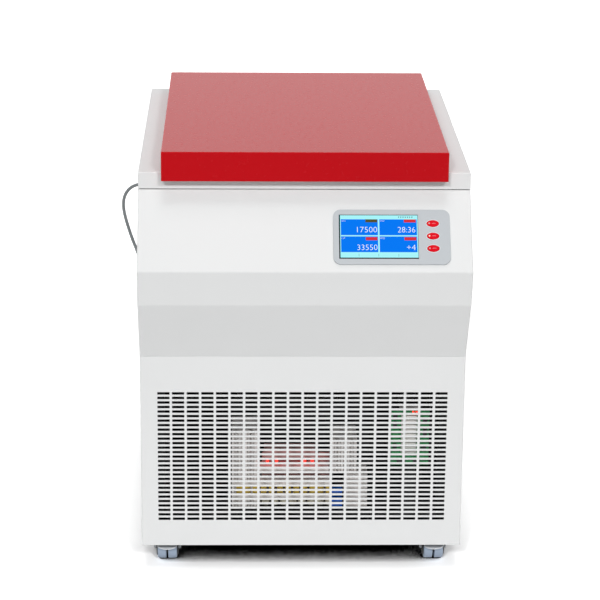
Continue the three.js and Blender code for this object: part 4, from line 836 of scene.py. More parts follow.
@dataclass(frozen=True)
class Pattern:
    """Copies of one unit shape, set out by a tree of Geometry Nodes."""

    layout: Layout

    def tree(self) -> Tree:
        """Return the pattern's tree, with its sizes as named inputs."""
        name = "pattern_" + self.layout.value
        tree = bpy.data.node_groups.get(name)
        if tree:
            return tree
        tree = bpy.data.node_groups.new(name, "GeometryNodeTree")
        sockets = {
            "Unit": "Object", "Columns": "Int", "Rows": "Int", "Pitch": "Vector",
            "Centre": "Vector", "Turn": "Vector", "Weld": "Float", "Finish": "Material",
        }
        face = tree.interface
        for label, kind in sockets.items():
            face.new_socket(name=label, in_out="INPUT", socket_type="NodeSocket" + kind)
        face.new_socket(name="Geometry", in_out="OUTPUT", socket_type="NodeSocketGeometry")
        given = add(tree, "NodeGroupInput").outputs
        unit = add(tree, "GeometryNodeObjectInfo", {"Object": given["Unit"]}).outputs["Geometry"]
        columns, rows = given["Columns"], given["Rows"]
        total = add(tree, "Math", {0: columns, 1: rows}, operation="MULTIPLY")
        points = add(tree, "GeometryNodeMeshLine", {"Count": total, "Offset": (0.0, 0.0, 0.0)})
        index = add(tree, "GeometryNodeInputIndex")
        if self.layout is Layout.GRID:
            column = add(tree, "Math", {0: index, 1: columns}, operation="MODULO")
            share = add(tree, "Math", {0: index, 1: columns}, operation="DIVIDE")
            row = add(tree, "Math", {0: share}, operation="FLOOR")
            count = add(tree, "CombineXYZ", {0: column, 1: 0.0, 2: row})
            last = add(tree, "CombineXYZ", {0: columns, 1: 1.0, 2: rows})
            half = {0: last, 1: (0.5, 0.5, 0.5), 2: (-0.5, -0.5, -0.5)}
            middle = add(tree, "VectorMath", half, operation="MULTIPLY_ADD")
            step = add(tree, "VectorMath", {0: count, 1: middle}, operation="SUBTRACT")
            spread = {0: step, 1: given["Pitch"], 2: given["Centre"]}
            place = add(tree, "VectorMath", spread, operation="MULTIPLY_ADD")
            points = add(tree, "GeometryNodeSetPosition", {"Geometry": points, "Position": place})
            placed = add(tree, "GeometryNodeInstanceOnPoints", {"Points": points, "Instance": unit})
        else:
            turn = {0: given["Turn"], "Scale": index}
            angle = add(tree, "VectorMath", turn, operation="SCALE")
            copies = add(
                tree, "GeometryNodeInstanceOnPoints",
                {"Points": points, "Instance": unit, "Rotation": angle},
            )
            placed = add(
                tree, "GeometryNodeTransform", {"Geometry": copies, "Translation": given["Centre"]}
            )
        real = add(tree, "GeometryNodeRealizeInstances", {0: placed})
        welded = add(
            tree, "GeometryNodeMergeByDistance", {"Geometry": real, "Distance": given["Weld"]}
        )
        painted = add(
            tree, "GeometryNodeSetMaterial", {"Geometry": welded, "Material": given["Finish"]}
        )
        add(tree, "NodeGroupOutput", {0: painted})
        return tree

    def make(
        self, name: str, unit: Piece, centre: Point3, columns: int, rows: int = 1,
        pitch: Point3 = (0, 0, 0), turn: Point3 = (0, 0, 0), weld: float = 0.0001,
    ) -> Piece:
        """Set out the copies and return them as one plain mesh.

        Args:
            name: The piece's name.
            unit: The shape that is copied, in the copies' finish; it is deleted.
            centre: The pattern's centre.
            columns: Copies along X, or round the ring.
            rows: Copies along Z.
            pitch: The step from copy to copy along each axis.
            turn: The turn from copy to copy of a ring, in degrees about each axis.
            weld: Corners this close become one.

        Returns:
            The new object.
        """
        finish = unit.data.materials[0]
        piece = linked(name, bpy.data.meshes.new(name))
        step = modified(piece, "NODES", node_group=self.tree())
        values = {
            "Unit": unit, "Columns": columns, "Rows": rows, "Pitch": [p * MM for p in pitch],
            "Centre": [c * MM for c in centre], "Turn": [radians(t) for t in turn],
            "Weld": weld * MM, "Finish": finish,
        }
        for item in step.node_group.interface.items_tree:
            if item.in_out == "INPUT":
                step[item.identifier] = values[item.name]
        piece.update_tag()
        baked(piece)
        if not piece.data.materials:
            piece.data.materials.append(finish)
        bpy.data.objects.remove(unit)
        return shaded(piece)


GRID = Pattern(Layout.GRID)
RING = Pattern(Layout.RING)


# The photograph's view and its light

@dataclass(frozen=True)
class Sun:
    """A lamp far away, its angles in degrees."""

    power: float
    spread: float
    elevation: float
    azimuth: float


@dataclass
class Studio:
    """The camera, lamps, world and floor."""

    lens: float = 139.96
    sensor: float = 36.0
    eye: Point3 = (-131.5, -4833.7, 2019.6)
    right: Point3 = (0.99965286, -0.02464536, 0.00931451)
    down: Point3 = (0.00140037, -0.30333339, -0.95288346)
    ahead: Point3 = (0.02630955, 0.95256573, -0.30319357)
    sky: float = 0.26
    room: float = 0.02
    room_starts: Span = (-0.35, 0.1)
    floor_size: float = 60000.0
    floor_albedo: float = 0.64
    floor_gain: float = 1.75
    floor_dark: Span = (0.17, 0.25)
    shade_reach: float = 300.0
    paper_end: Span = (-2400.0, -1000.0)
    left: Sun = Sun(1.12, 7.0, 31.0, -16.0)
    right_light: Sun = Sun(0.94, 7.0, 31.0, 18.0)
    top: Sun = Sun(0.68, 24.0, 88.0, 0.0)

    def set_camera(self) -> None:
        """Stand the camera where the photograph was taken from."""
        camera = linked("photo_camera", bpy.data.cameras.new("photo_camera"))
        camera.data.lens = self.lens
        camera.data.sensor_width = self.sensor
        camera.data.clip_end = 200.0
        columns = [Vector(self.right), -Vector(self.down), -Vector(self.ahead)]
        turn = Matrix([list(c) for c in columns]).transposed().to_4x4()
        camera.matrix_world = Matrix.Translation(Vector(self.eye) * MM) @ turn
        bpy.context.scene.camera = camera

    def seen(self, tree: Tree) -> Node:
        """Return 1 where a camera, glossy or transmission ray meets the background."""
        path = add(tree, "LightPath").outputs
        rays = {0: path["Is Camera Ray"], 1: path["Is Glossy Ray"]}
        either = add(tree, "Math", rays, operation="MAXIMUM")
        rays = {0: either, 1: path["Is Transmission Ray"]}
        return add(tree, "Math", rays, operation="MAXIMUM")

    def by_gloss(self, tree: Tree, plain: Source, mirrored: Source) -> Node:
        """Return one value for glossy rays and another for the rest."""
        glossy = add(tree, "LightPath").outputs["Is Glossy Ray"]
        return add(tree, "Mix", {0: glossy, 2: plain, 3: mirrored}, data_type="FLOAT")

    def light(self) -> None:
        """Light the object evenly, with lamps at the upper left and right and one overhead.

        Reflections see white behind the object and the dark room in front of it.
        """
        scene = bpy.context.scene
        scene.view_settings.view_transform = "Standard"
        scene.world = bpy.data.worlds.new("white_studio")
        scene.world.use_nodes = True
        tree = scene.world.node_tree
        tree.nodes.clear()
        way = add(tree, "TexCoord").outputs["Generated"]
        depth = add(tree, "SeparateXYZ", {0: way}).outputs[1]
        dark, white = self.room_starts
        room = {"Value": depth, "From Min": dark, "From Max": white, "To Min": self.room}
        mirrored = add(tree, "MapRange", room)
        sky = {"Value": self.seen(tree), "To Min": self.sky, "To Max": 1.0}
        chosen = self.by_gloss(tree, add(tree, "MapRange", sky), mirrored)
        shown = add(tree, "Background", {0: (1, 1, 1, 1), 1: chosen})
        add(tree, "OutputWorld", {0: shown})
        for name, sun in {"left": self.left, "right": self.right_light, "top": self.top}.items():
            lamp = bpy.data.lights.new(name, "SUN")
            lamp.energy = sun.power
            lamp.angle = radians(sun.spread)
            stand = linked(name, lamp)
            stand.rotation_euler = (radians(90 - sun.elevation), 0, radians(sun.azimuth))
            stand.visible_glossy = False

    def lay_floor(self) -> None:
        """Lay a pale matt floor that runs out of sight and keeps the object's shadow.

        It shows white but for that shadow, which a painted shadow deepens: its colour is darkened
        by ambient occlusion where little of the sky is seen, and reflections lose it in the dark
        room well in front of the object.
        """
        side = about(0, self.floor_size / 2)
        floor = Form()
        floor.face(*[(x, y, 0) for x, y in rectangle(side, side)])
        laid = floor.made("studio_floor")
        material = bpy.data.materials.new("studio_floor")
        laid.data.materials.append(material)
        material.use_nodes = True
        tree = material.node_tree
        tree.nodes.clear()
        # Painted shadow: the floor's colour is darkened by ambient occlusion near the object.
        shade = add(tree, "AmbientOcclusion", {"Distance": self.shade_reach * MM}).outputs["AO"]
        low, high = self.floor_dark
        shown = add(
            tree, "MapRange",
            {"Value": shade, "From Min": low, "From Max": high, "To Max": self.floor_gain},
        )
        place = add(tree, "SeparateXYZ", {0: add(tree, "TexCoord").outputs["Object"]}).outputs[1]
        far, near = self.paper_end
        mirrored = add(
            tree, "MapRange",
            {"Value": place, "From Min": far * MM, "From Max": near * MM,
             "To Min": self.room, "To Max": self.floor_gain},
        )
        pictured = self.by_gloss(tree, shown, mirrored)
        albedo = {0: self.seen(tree), 2: self.floor_albedo, 3: pictured}
        grey = add(tree, "Mix", albedo, data_type="FLOAT")
        matt = add(tree, "BsdfDiffuse", {"Color": grey})
        add(tree, "OutputMaterial", {"Surface": matt})


# The mains lead

@dataclass
class MainsLead:
    """The cord from the gland at the back, wound up on the floor behind the cabinet."""

    diameter: float = 8.0
    skin_play: float = 0.15
    gland: Point2 = (-300.0, 604.0)
    rear: float = 438.5
    seam: float = 0.3
    nut: float = 8.0
    nut_radius: float = 15.0
    shank: float = 14.0
    shank_radius: float = 10.0
    taper: float = 26.0
    taper_end: float = 6.0
    taper_ribs: int = 6
    coil_x: float = -200.0
    coil_front: float = 500.0
    coil_mean: float = 44.0
    loops: int = 3
    gap: float = 0.8
    lift: float = 1.5
    tail: float = 24.0
    steps: int = 72
    boot: float = 25.0
    boot_radius: float = 5.2
    boot_ribs: int = 5
    plug_length: float = 42.0
    plug_half: float = 17.0
    plug_corner: float = 6.0
    pin_radius: float = 2.4
    pin_length: float = 19.0
    pin_spacing: float = 19.0
    lead_x: float = -208.3
    route: tuple[Point3, ...] = (
        (-300, 484, 604), (-303, 497, 604.5), (-313, 510, 605), (-329, 518, 605),
        (-348, 520, 604.5), (-369.3, 520, 602), (-386, 520, 595), (-397.5, 520, 582.5),
        (-403.6, 520, 567), (-405, 520, 553), (-403.8, 520, 537), (-399.5, 520, 516.6),
        (-393.4, 520, 494.7), (-385.4, 520, 469.4), (-375, 520, 440.8), (-364, 520, 405),
        (-352, 520, 350), (-343, 521, 290), (-336, 521.5, 225), (-330, 521.5, 165),
        (-323, 520.5, 110), (-314, 518.5, 66), (-300, 514.5, 32), (-281, 509.5, 13.5),
        (-260, 504.5, 6.6), (-238, 501, 5.5), (-222, 500, 5.5),
    )

    @property
    def pitch(self) -> float:
        """Return the distance from loop to loop."""
        return self.diameter + self.gap

    @property
    def base(self) -> float:
        """Return the height of the lower layer's centre line."""
        return self.diameter / 2 + self.lift

    @property
    def start(self) -> Point3:
        """Return the point where the cord leaves the gland."""
        x, z = self.gland
        return (x, self.rear + self.nut + self.taper + 2 * self.seam, z)

    def coil(self) -> list[Vector]:
        """Return the coil's line: in over the lower layer, up, and out above it."""
        half = self.loops * self.pitch / 2
        centre_y = self.coil_front + self.coil_mean + half
        line = []
        for i in range(2 * self.loops * self.steps + 1):
            turn = i / self.steps
            angle = turn * 2 * pi - pi / 2
            radius = self.coil_mean - half + self.pitch * abs(self.loops - turn)
            t = min(1.0, max(0.0, (turn - self.loops + 0.25) / 0.5))
            z = self.base + t * t * (3 - 2 * t) * self.pitch
            at = (self.coil_x + radius * cos(angle), centre_y + radius * sin(angle), z)
            line.append(Vector(at))
        return [*line, Vector((self.coil_x + self.tail, line[-1].y, z))]

    def build(self) -> None:
        knots = (self.start, *self.route, (self.lead_x, self.coil_front, self.base))
        line = [*smooth_path([Vector(p) for p in knots], 12), *self.coil()]
        skin = Form().tube(line, self.diameter / 2 - self.skin_play, 20)
        cord = seated(skin.made("mains_lead", SHEATH, 60), "mains_cord", "cord_coil")
        tie = ("coil_tie", "cord_tie_strap", BLACK_PLASTIC, 0.3)
        pieces = [self.make_gland(), softened(*tie), *self.make_plug()]

    def ribbed(
        self, start: float, length: float, radii: Span, ribs: int, shape: Sequence[Point2]
    ) -> list[Point2]:
        """Return the profile of a taper that is broken into ribs.

        Args:
            start: Where it starts along its axis.
            length: Its length.
            radii: Its radius at both ends.
            ribs: How many ribs it has.
            shape: Each rib's points, as what is added to the radius and as shares of the rib.

        Returns:
            The profile's points.
        """
        profile = []
        for i in range(ribs):
            radius = radii[0] + (radii[1] - radii[0]) * i / ribs
            for rise, share in shape:
                profile.append((radius + rise, start + length * (i + share) / ribs))
        return profile

    def make_gland(self) -> Piece:
        """Make the screwed gland and its ribbed, tapered strain relief."""
        face = self.rear + self.seam
        end = face + self.nut
        tip = end + self.taper
        nut = circle(self.gland, self.nut_radius, 6)
        gland = Form().prism(nut, Axis.Y, (face, end)).soften(1.0)
        gland.cylinder(self.gland, self.shank_radius, (self.rear - self.shank, end), Axis.Y)
        shape = ((0, 0), (-0.2, 0.55), (-1.6, 0.68), (-1.6, 0.92))
        radii = (self.shank_radius, self.taper_end)
        ribs = self.ribbed(end, self.taper, radii, self.taper_ribs, shape)
        profile = [(0, end - 1), *ribs, (self.taper_end, tip - 0.4), (0, tip)]
        gland.lathe(profile, self.gland, Axis.Y, SMALL_STEPS)
        return gland.seat("cord_gland_body", BLACK_PLASTIC, "cord_gland")

    def make_plug(self) -> list[Piece]:
        """Make the moulded plug with its ribbed boot and its two pins."""
        z = self.base + self.pitch
        start = self.coil_x + self.tail + self.seam
        body = (start + self.boot, start + self.boot + self.plug_length)
        across = about(self.coil_front, self.plug_half)
        outline = rounded(across, (0.4, 2 * z - 0.4), self.plug_corner)
        plug = Form().prism(outline, Axis.X, body).soften(2.0)
        shape = ((0, 0), (0.3, 0.6), (-1.0, 0.7), (-1.0, 0.95))
        ribs = self.ribbed(start, self.boot, (self.boot_radius, z * 0.55), self.boot_ribs, shape)
        profile = [(0, start), *ribs, (z * 0.6, body[0]), (0, body[0] + 3)]
        plug.lathe(profile, (self.coil_front, z), Axis.X, SMALL_STEPS)
        pins = Form()
        for y in about(self.coil_front, self.pin_spacing / 2):
            span = (body[1] - 2, body[1] + self.pin_length)
            pins.cylinder((y, z), self.pin_radius, span, Axis.X, SMALL_STEPS, 0.8)
        return [
            plug.seat("plug_body", BLACK_PLASTIC, "mains_plug"), pins.seat("plug_pins", SHAFT_STEEL)
        ]


def smooth_path(knots: Sequence[Vector], steps: int) -> list[Vector]:
    """Return a centripetal curve through points, as the CAD model draws it.

    Args:
        knots: The points that it passes through.
        steps: Pieces from knot to knot.

    Returns:
        The curve's points.
    """
    ends = [2 * knots[0] - knots[1], *knots, 2 * knots[-1] - knots[-2]]
    line = []
    for a, b, c, d in zip(ends, ends[1:], ends[2:], ends[3:]):
        g0, g1, g2 = [max((q - p).length, 1e-6) ** 0.5 for p, q in ((a, b), (b, c), (c, d))]
        m1 = ((b - a) / g0 - (c - a) / (g0 + g1) + (c - b) / g1) * g1
        m2 = ((c - b) / g1 - (d - b) / (g1 + g2) + (d - c) / g2) * g1
        for t in (i / steps for i in range(steps)):
            start = b * (2 * t ** 3 - 3 * t ** 2 + 1) + m1 * (t ** 3 - 2 * t ** 2 + t)
            line.append(start + c * (3 * t ** 2 - 2 * t ** 3) + m2 * (t ** 3 - t ** 2))
    return [*line, knots[-1]]


# The cabinet

@dataclass
class Cabinet:
    """The sheet-metal shell and the steel frame in it."""

    width: float = 665.0
    front_nose: float = -438.5
    rear: float = 438.5
    nose_height: float = 677.5
    seam_height: float = 816.5
    deck_top: float = 852.5
    deck_front: float = -328.0
    break_front: float = -420.0
    break_height: float = 603.0
    grille_front: float = -341.0
    grille_top: float = 469.0
    side_seam: float = -300.0
    skirt: float = 52.0
    sheet: float = 2.0
    fold: float = 3.0
    seam: float = 0.3
    gap: float = 0.6
    deck_gap: float = 2.0
    deck_wall: float = 2.5
    deck_lip: float = 12.0
    lip_inset: float = 7.8
    rear_wrap: float = 18.0
    flange: float = 18.0
    columns: int = 20
    rows: int = 29
    pitch_x: float = 30.0
    pitch_z: float = 9.9
    slot: Point2 = (25.0, 5.6)
    slot_corner: float = 0.7
    grille_sheet: float = 1.0
    top_row: float = 388.7
    frame_top: float = 76.0
    lock_half: float = 50.0
    lock_front: float = -315.0
    window: Area = ((63.5, 270.3), (24.0, 126.0))
    chamber: Point2 = (0.0, 10.0)
    mouth: float = 216.0
    striker_half: float = 20.0
    striker_slot: Span = (-310.0, -282.0)
    vent: Point2 = (100.8, 8.0)
    vent_corner: float = 3.9
    gland: Point2 = (-300.0, 604.0)
    gland_hole: float = 10.6
    switch_hole: Area = ((236.2, 263.8), (160.2, 199.8))
    screw: Profile = ((0, -1), (4.2, -1), (4.2, 0.4), (3.6, 1.6), (2.2, 2.3), (0, 2.5))
    recess: Point2 = (2.2, 0.5)

    @property
    def half(self) -> float:
        """Return half the cabinet's width."""
        return self.width / 2

    def build(self) -> None:
        """Make every panel, then the frame."""
        seated(self.fascia(), "front_fascia")
        seated(self.grille(), "front_grille_panel")
        for side, name in ((-1, "left"), (1, "right")):
            seated(self.side_panel(side, name), name + "_side_panel")
        seated(self.rear_panel(), "rear_panel")
        seated(self.deck(), "top_deck")
        seated(self.panel_screws())
        # The frame and the motor deck are black as painted shade.
        softened("base_frame", "welded_base", FRAME_SHADE_BLACK, 0.8)
        softened("motor_deck", "motor_deck_plate", FRAME_SHADE_BLACK, 0.8)

    def fascia(self) -> Piece:
        """Make the folded housing over the grille, its folds and corners rounded."""
        folds = [
            (self.deck_front, self.seam_height), (self.front_nose, self.nose_height),
            (self.break_front, self.break_height), (self.grille_front, self.grille_top),
        ]
        back = self.side_seam

        def rounds(edge: bmesh.types.BMEdge) -> bool:
            """Return whether an edge is one of the two front folds or runs down a side."""
            places = {(round(v.co.y, 3), round(v.co.z, 3)) for v in edge.verts}
            if len(places) == 1:
                return places <= {*folds[1:3]}
            level = edge.verts[0].co.x == edge.verts[1].co.x
            return level and all(v.co.y < back - 1 for v in edge.verts)

        outline = [*folds, (back, self.grille_top), (back, self.seam_height)]
        shell = Form().prism(outline, Axis.X, about(0, self.half))
        shell.soften(self.fold, rounds, 4, 10.0)
        inside = self.inset(folds, self.sheet)
        roof, floor, past = self.seam_height - self.sheet, self.grille_top - OVERRUN, back + OVERRUN
        room = [
            self.slide(*inside[:2], roof), *inside[1:3], self.slide(*inside[2:], floor),
            (past, floor), (past, roof),
        ]
        hollow = Form().prism(room, Axis.X, about(0, self.half - self.sheet))
        lock_room = Form().box(
            about(0, self.lock_half + self.gap), (self.lock_front - self.gap, past),
            (roof - OVERRUN, self.seam_height + OVERRUN),
        )
        window = Form().prism(rectangle(*self.window), Axis.Z, (-12, OVERRUN))
        window.turn(ControlFace().slope())
        piece = carved(shell.made("front_housing", CABINET), hollow, lock_room, window)
        start = self.deck_front + self.lip_inset
        lip = Form().box(
            about(0, self.half - self.deck_wall - 2 * self.seam), (start, start + self.sheet),
            (roof, self.seam_height + self.deck_gap + self.deck_lip),
        )
        return even(joined(piece, lip.made("lip", CABINET)))

    def inset(self, folds: Sequence[Point2], wall: float) -> list[Point2]:
        """Move the fold lines inwards.

        Args:
            folds: Their points in the section.
            wall: How far they move.

        Returns:
            The moved points.
        """
        lines = []
        for (u0, v0), (u1, v1) in zip(folds, folds[1:]):
            along = Vector((u1 - u0, v1 - v0)).normalized()
            lines.append((Vector((u0, v0)) + Vector((-along.y, along.x)) * wall, along))
        points = [lines[0][0]]
        for (p, a), (q, b) in zip(lines, lines[1:]):
            points.append(p + a * ((q - p).cross(b) / a.cross(b)))
        points.append(lines[-1][0] + (Vector(folds[-1]) - Vector(folds[-2])))
        return [(p.x, p.y) for p in points]

    def slide(self, a: Point2, b: Point2, height: float) -> Point2:
        """Return the point at a height on the line through two points."""
        return (a[0] + (b[0] - a[0]) * (height - a[1]) / (b[1] - a[1]), height)

    def grille(self) -> Piece:
        """Make the slotted front sheet and its folded sides from one skin."""
        y, top = self.grille_front, self.grille_top - self.seam
        low = self.top_row - (self.rows - 0.5) * self.pitch_z
        high = self.top_row + self.pitch_z / 2
        length, height = self.slot
        hole = rounded(about(0, length / 2), about(0, height / 2), self.slot_corner, 2)
        cell = Form()
        around = rectangle(about(0, self.pitch_x / 2), about(0, self.pitch_z / 2))
        cell.flat(Axis.Y, 0, around, hole)
        slots = GRID.make(
            "slots", cell.made("slot", CABINET), (0, y, (low + high) / 2), self.columns, self.rows,
            (self.pitch_x, 0, self.pitch_z), weld=0.01,
        )
        border = Form()
        edges = [(i - self.columns / 2) * self.pitch_x for i in range(self.columns + 1)]
        bend = arc((self.fold - self.half, y + self.fold), self.fold, 180, 270, 5)
        plan = [(-self.half, self.side_seam), *bend, (edges[0], y)]
        rows = [low + self.pitch_z * i for i in range(self.rows + 1)]
        strips = [(a, b, [self.skirt, *rows, top]) for a, b in zip(plan, plan[1:])]
        strips += [((-x1, y1), (-x0, y0), heights) for (x0, y0), (x1, y1), heights in strips]
        for x0, x1 in zip(edges, edges[1:]):
            strips += [((x0, y), (x1, y), [self.skirt, low]), ((x0, y), (x1, y), [high, top])]
        for a, b, heights in strips:
            for z0, z1 in zip(heights, heights[1:]):
                border.face((*a, z0), (*b, z0), (*b, z1), (*a, z1))
        skin = joined(border.made("slotted_front", CABINET), slots)
        sheet = bmesh.new()
        sheet.from_mesh(skin.data)
        bmesh.ops.remove_doubles(sheet, verts=sheet.verts, dist=0.02 * MM)
        bmesh.ops.recalc_face_normals(sheet, faces=sheet.faces)
        centres = [(f, f.calc_center_median()) for f in sheet.faces]
        if min(centres, key=lambda c: abs(c[1].x) + c[1].z)[0].normal.y > 0:
            bmesh.ops.reverse_faces(sheet, faces=sheet.faces)
        sheet.to_mesh(skin.data)
        sheet.free()
        return shaded(thickened(skin, self.grille_sheet, -1.0))

    def side_panel(self, side: int, name: str) -> Piece:
        """Make one side panel, a shallow pan open towards the frame.

        Args:
            side: -1 for the left and 1 for the right.
            name: The side's name.

        Returns:
            The panel.
        """
        front, back = self.side_seam + self.seam, self.rear - self.rear_wrap - self.seam
        across = between(side * self.half, side * (self.half - self.flange))
        outer = Form().box(across, (front, back), (self.skirt, self.seam_height))
        outer.soften(1.0, lambda e: all(abs(abs(v.co.x) - self.half) < 0.01 for v in e.verts))
        room = between(side * (self.half - self.sheet), side * (self.half - self.flange - OVERRUN))
        low, high = self.skirt - OVERRUN, self.seam_height - self.sheet
        return even(carved(
            outer.made(name + "_side_sheet", CABINET),
            Form().box(room, (front + self.sheet, back - self.sheet), (low, high)),
            Form().box(room, (front - OVERRUN, back + OVERRUN), (low, self.frame_top + self.seam)),
        ))

    def rear_panel(self) -> Piece:
        """Make the rear panel with its vents and the holes for the switch and the gland."""
        start, inner = self.rear - self.rear_wrap, self.rear - self.sheet
        wall = (inner - OVERRUN, self.rear + OVERRUN)
        outer = Form().box(about(0, self.half), (start, self.rear), (self.skirt, self.seam_height))
        outer.soften(2.0, lambda e: all(v.co.y > self.rear - 0.01 for v in e.verts))
        hollow = Form().box(
            about(0, self.half - self.sheet), (start - OVERRUN, inner),
            (self.skirt - OVERRUN, self.seam_height - self.sheet),
        )
        length, height = self.vent
        slot = rounded(about(0, length / 2), about(0, height / 2), self.vent_corner)
        vent = Form().prism(slot, Axis.Y, wall).made("vent", CABINET)
        vents = GRID.make("vents", vent, (-110, 0, 237), 2, 10, (140, 0, 26))
        gland = Form().cylinder(self.gland, self.gland_hole, wall, Axis.Y)
        switch = Form().prism(rectangle(*self.switch_hole), Axis.Y, wall)
        return even(carved(outer.made("rear_sheet", CABINET), hollow, vents, gland, switch))

    def panel_screws(self) -> Piece:
        """Make the pan-head screws that hold the rear panel."""
        head = Form().lathe([(r, self.rear + y) for r, y in self.screw], axis=Axis.Y, steps=20)
        arm, half = self.recess
        corner = [(half, arm), (-half, arm), (-half, half)]
        cross = []
        for _ in range(4):
            cross += corner
            corner = [(-v, u) for u, v in corner]
        recess = Form().prism(cross, Axis.Y, (self.rear + 1.2, self.rear + 3))
        unit = carved(head.made("screw", ZINC), recess)
        return GRID.make("rear_screws", unit, (0, 0, 434), 3, 4, (310, 0, 240))

    def deck(self) -> Piece:
        """Make the deck round the chamber's mouth, its upper edges rounded."""
        wall, front, top = self.deck_wall, self.deck_front, self.deck_top
        bottom, under = self.seam_height + self.deck_gap, top - wall
        outer = Form().box(about(0, self.half), (front, self.rear), (bottom, top))
        outer.soften(2.6, lambda e: any(v.co.z > top - 0.01 for v in e.verts))
        past = (under - OVERRUN, top + OVERRUN)
        hollow = Form().box(
            about(0, self.half - wall), (front + wall, self.rear - wall), (bottom - OVERRUN, under)
        )
        mouth = Form().cylinder(self.chamber, self.mouth, past, steps=96)
        slot = Form().box(about(0, self.striker_half), self.striker_slot, past)
        return even(carved(outer.made("deck_pan", CABINET), hollow, mouth, slot))


# The lid

@dataclass
class Lid:
    """The lid's lacquered cover, its liner and its steel frame."""

    half: float = 285.75
    front: float = -353.0
    back: float = 398.5
    top: float = 899.5
    apron: float = 840.0
    apron_depth: float = 18.0
    skirt: float = 855.0
    hinge: Point2 = (378.0, 877.5)
    shaft_radius: float = 6.0
    shaft_half: float = 190.0
    drop: float = 5.0
    wall: float = 3.0
    rounding: float = 2.0
    bracket_x: float = 180.0
    notch_half: float = 28.0
    lug: float = 11.0
    gap: float = 0.6

    def build(self) -> None:
        """Make the cover and soften the parts under it."""
        seated(self.cover(), "lid_cover", body="lid")
        softened("lid_liner", "lid_lining", LINER, 2.0, "lid")
        softened("lid_frame", "lid_lift_frame", ZINC, 0.8, "lid")
        for side in ("left", "right"):
            softened("hinge_bracket_" + side, "hinge_" + side, ZINC, 0.6)
        span = about(0, self.shaft_half)
        shaft = Form().cylinder(self.hinge, self.shaft_radius, span, Axis.X, SMALL_STEPS, 1)
        shaft.seat("hinge_rod", SHAFT_STEEL, "hinge_shaft")
        softened("lock_unit", "lock_case", BLACK_PAINT, 0.8)
        softened("lock_hook", "lock_claw", ZINC, 0.5, "lock_hook")

    def cover(self) -> Piece:
        """Make the cover as one folded and welded shell."""
        hinge_y, hinge_z = self.hinge
        apron_back = self.front + self.apron_depth
        outline = [
            (self.front, self.apron), (apron_back, self.apron), (apron_back, self.skirt),
            (hinge_y, self.skirt), (self.back, hinge_z - self.drop), (self.back, self.top),
            (self.front, self.top),
        ]
        shell = Form().prism(outline, Axis.X, about(0, self.half))
        low = self.skirt + 0.01
        shell.soften(self.rounding, lambda e: not all(v.co.z < low for v in e.verts))
        hollow = Form().box(
            about(0, self.half - self.wall), (self.front + self.wall, self.back - self.wall),
            (self.apron - OVERRUN, self.top - self.wall),
        )
        depth = (self.back - self.wall - OVERRUN, self.back + OVERRUN)
        notches = Form()
        for x in about(0, self.bracket_x):
            top = hinge_z + self.lug + self.gap
            notches.box(about(x, self.notch_half), depth, (self.apron, top))
        return even(carved(shell.made("lid_shell", LID_LACQUER), hollow, notches))


# The chamber, the drive and the rotor

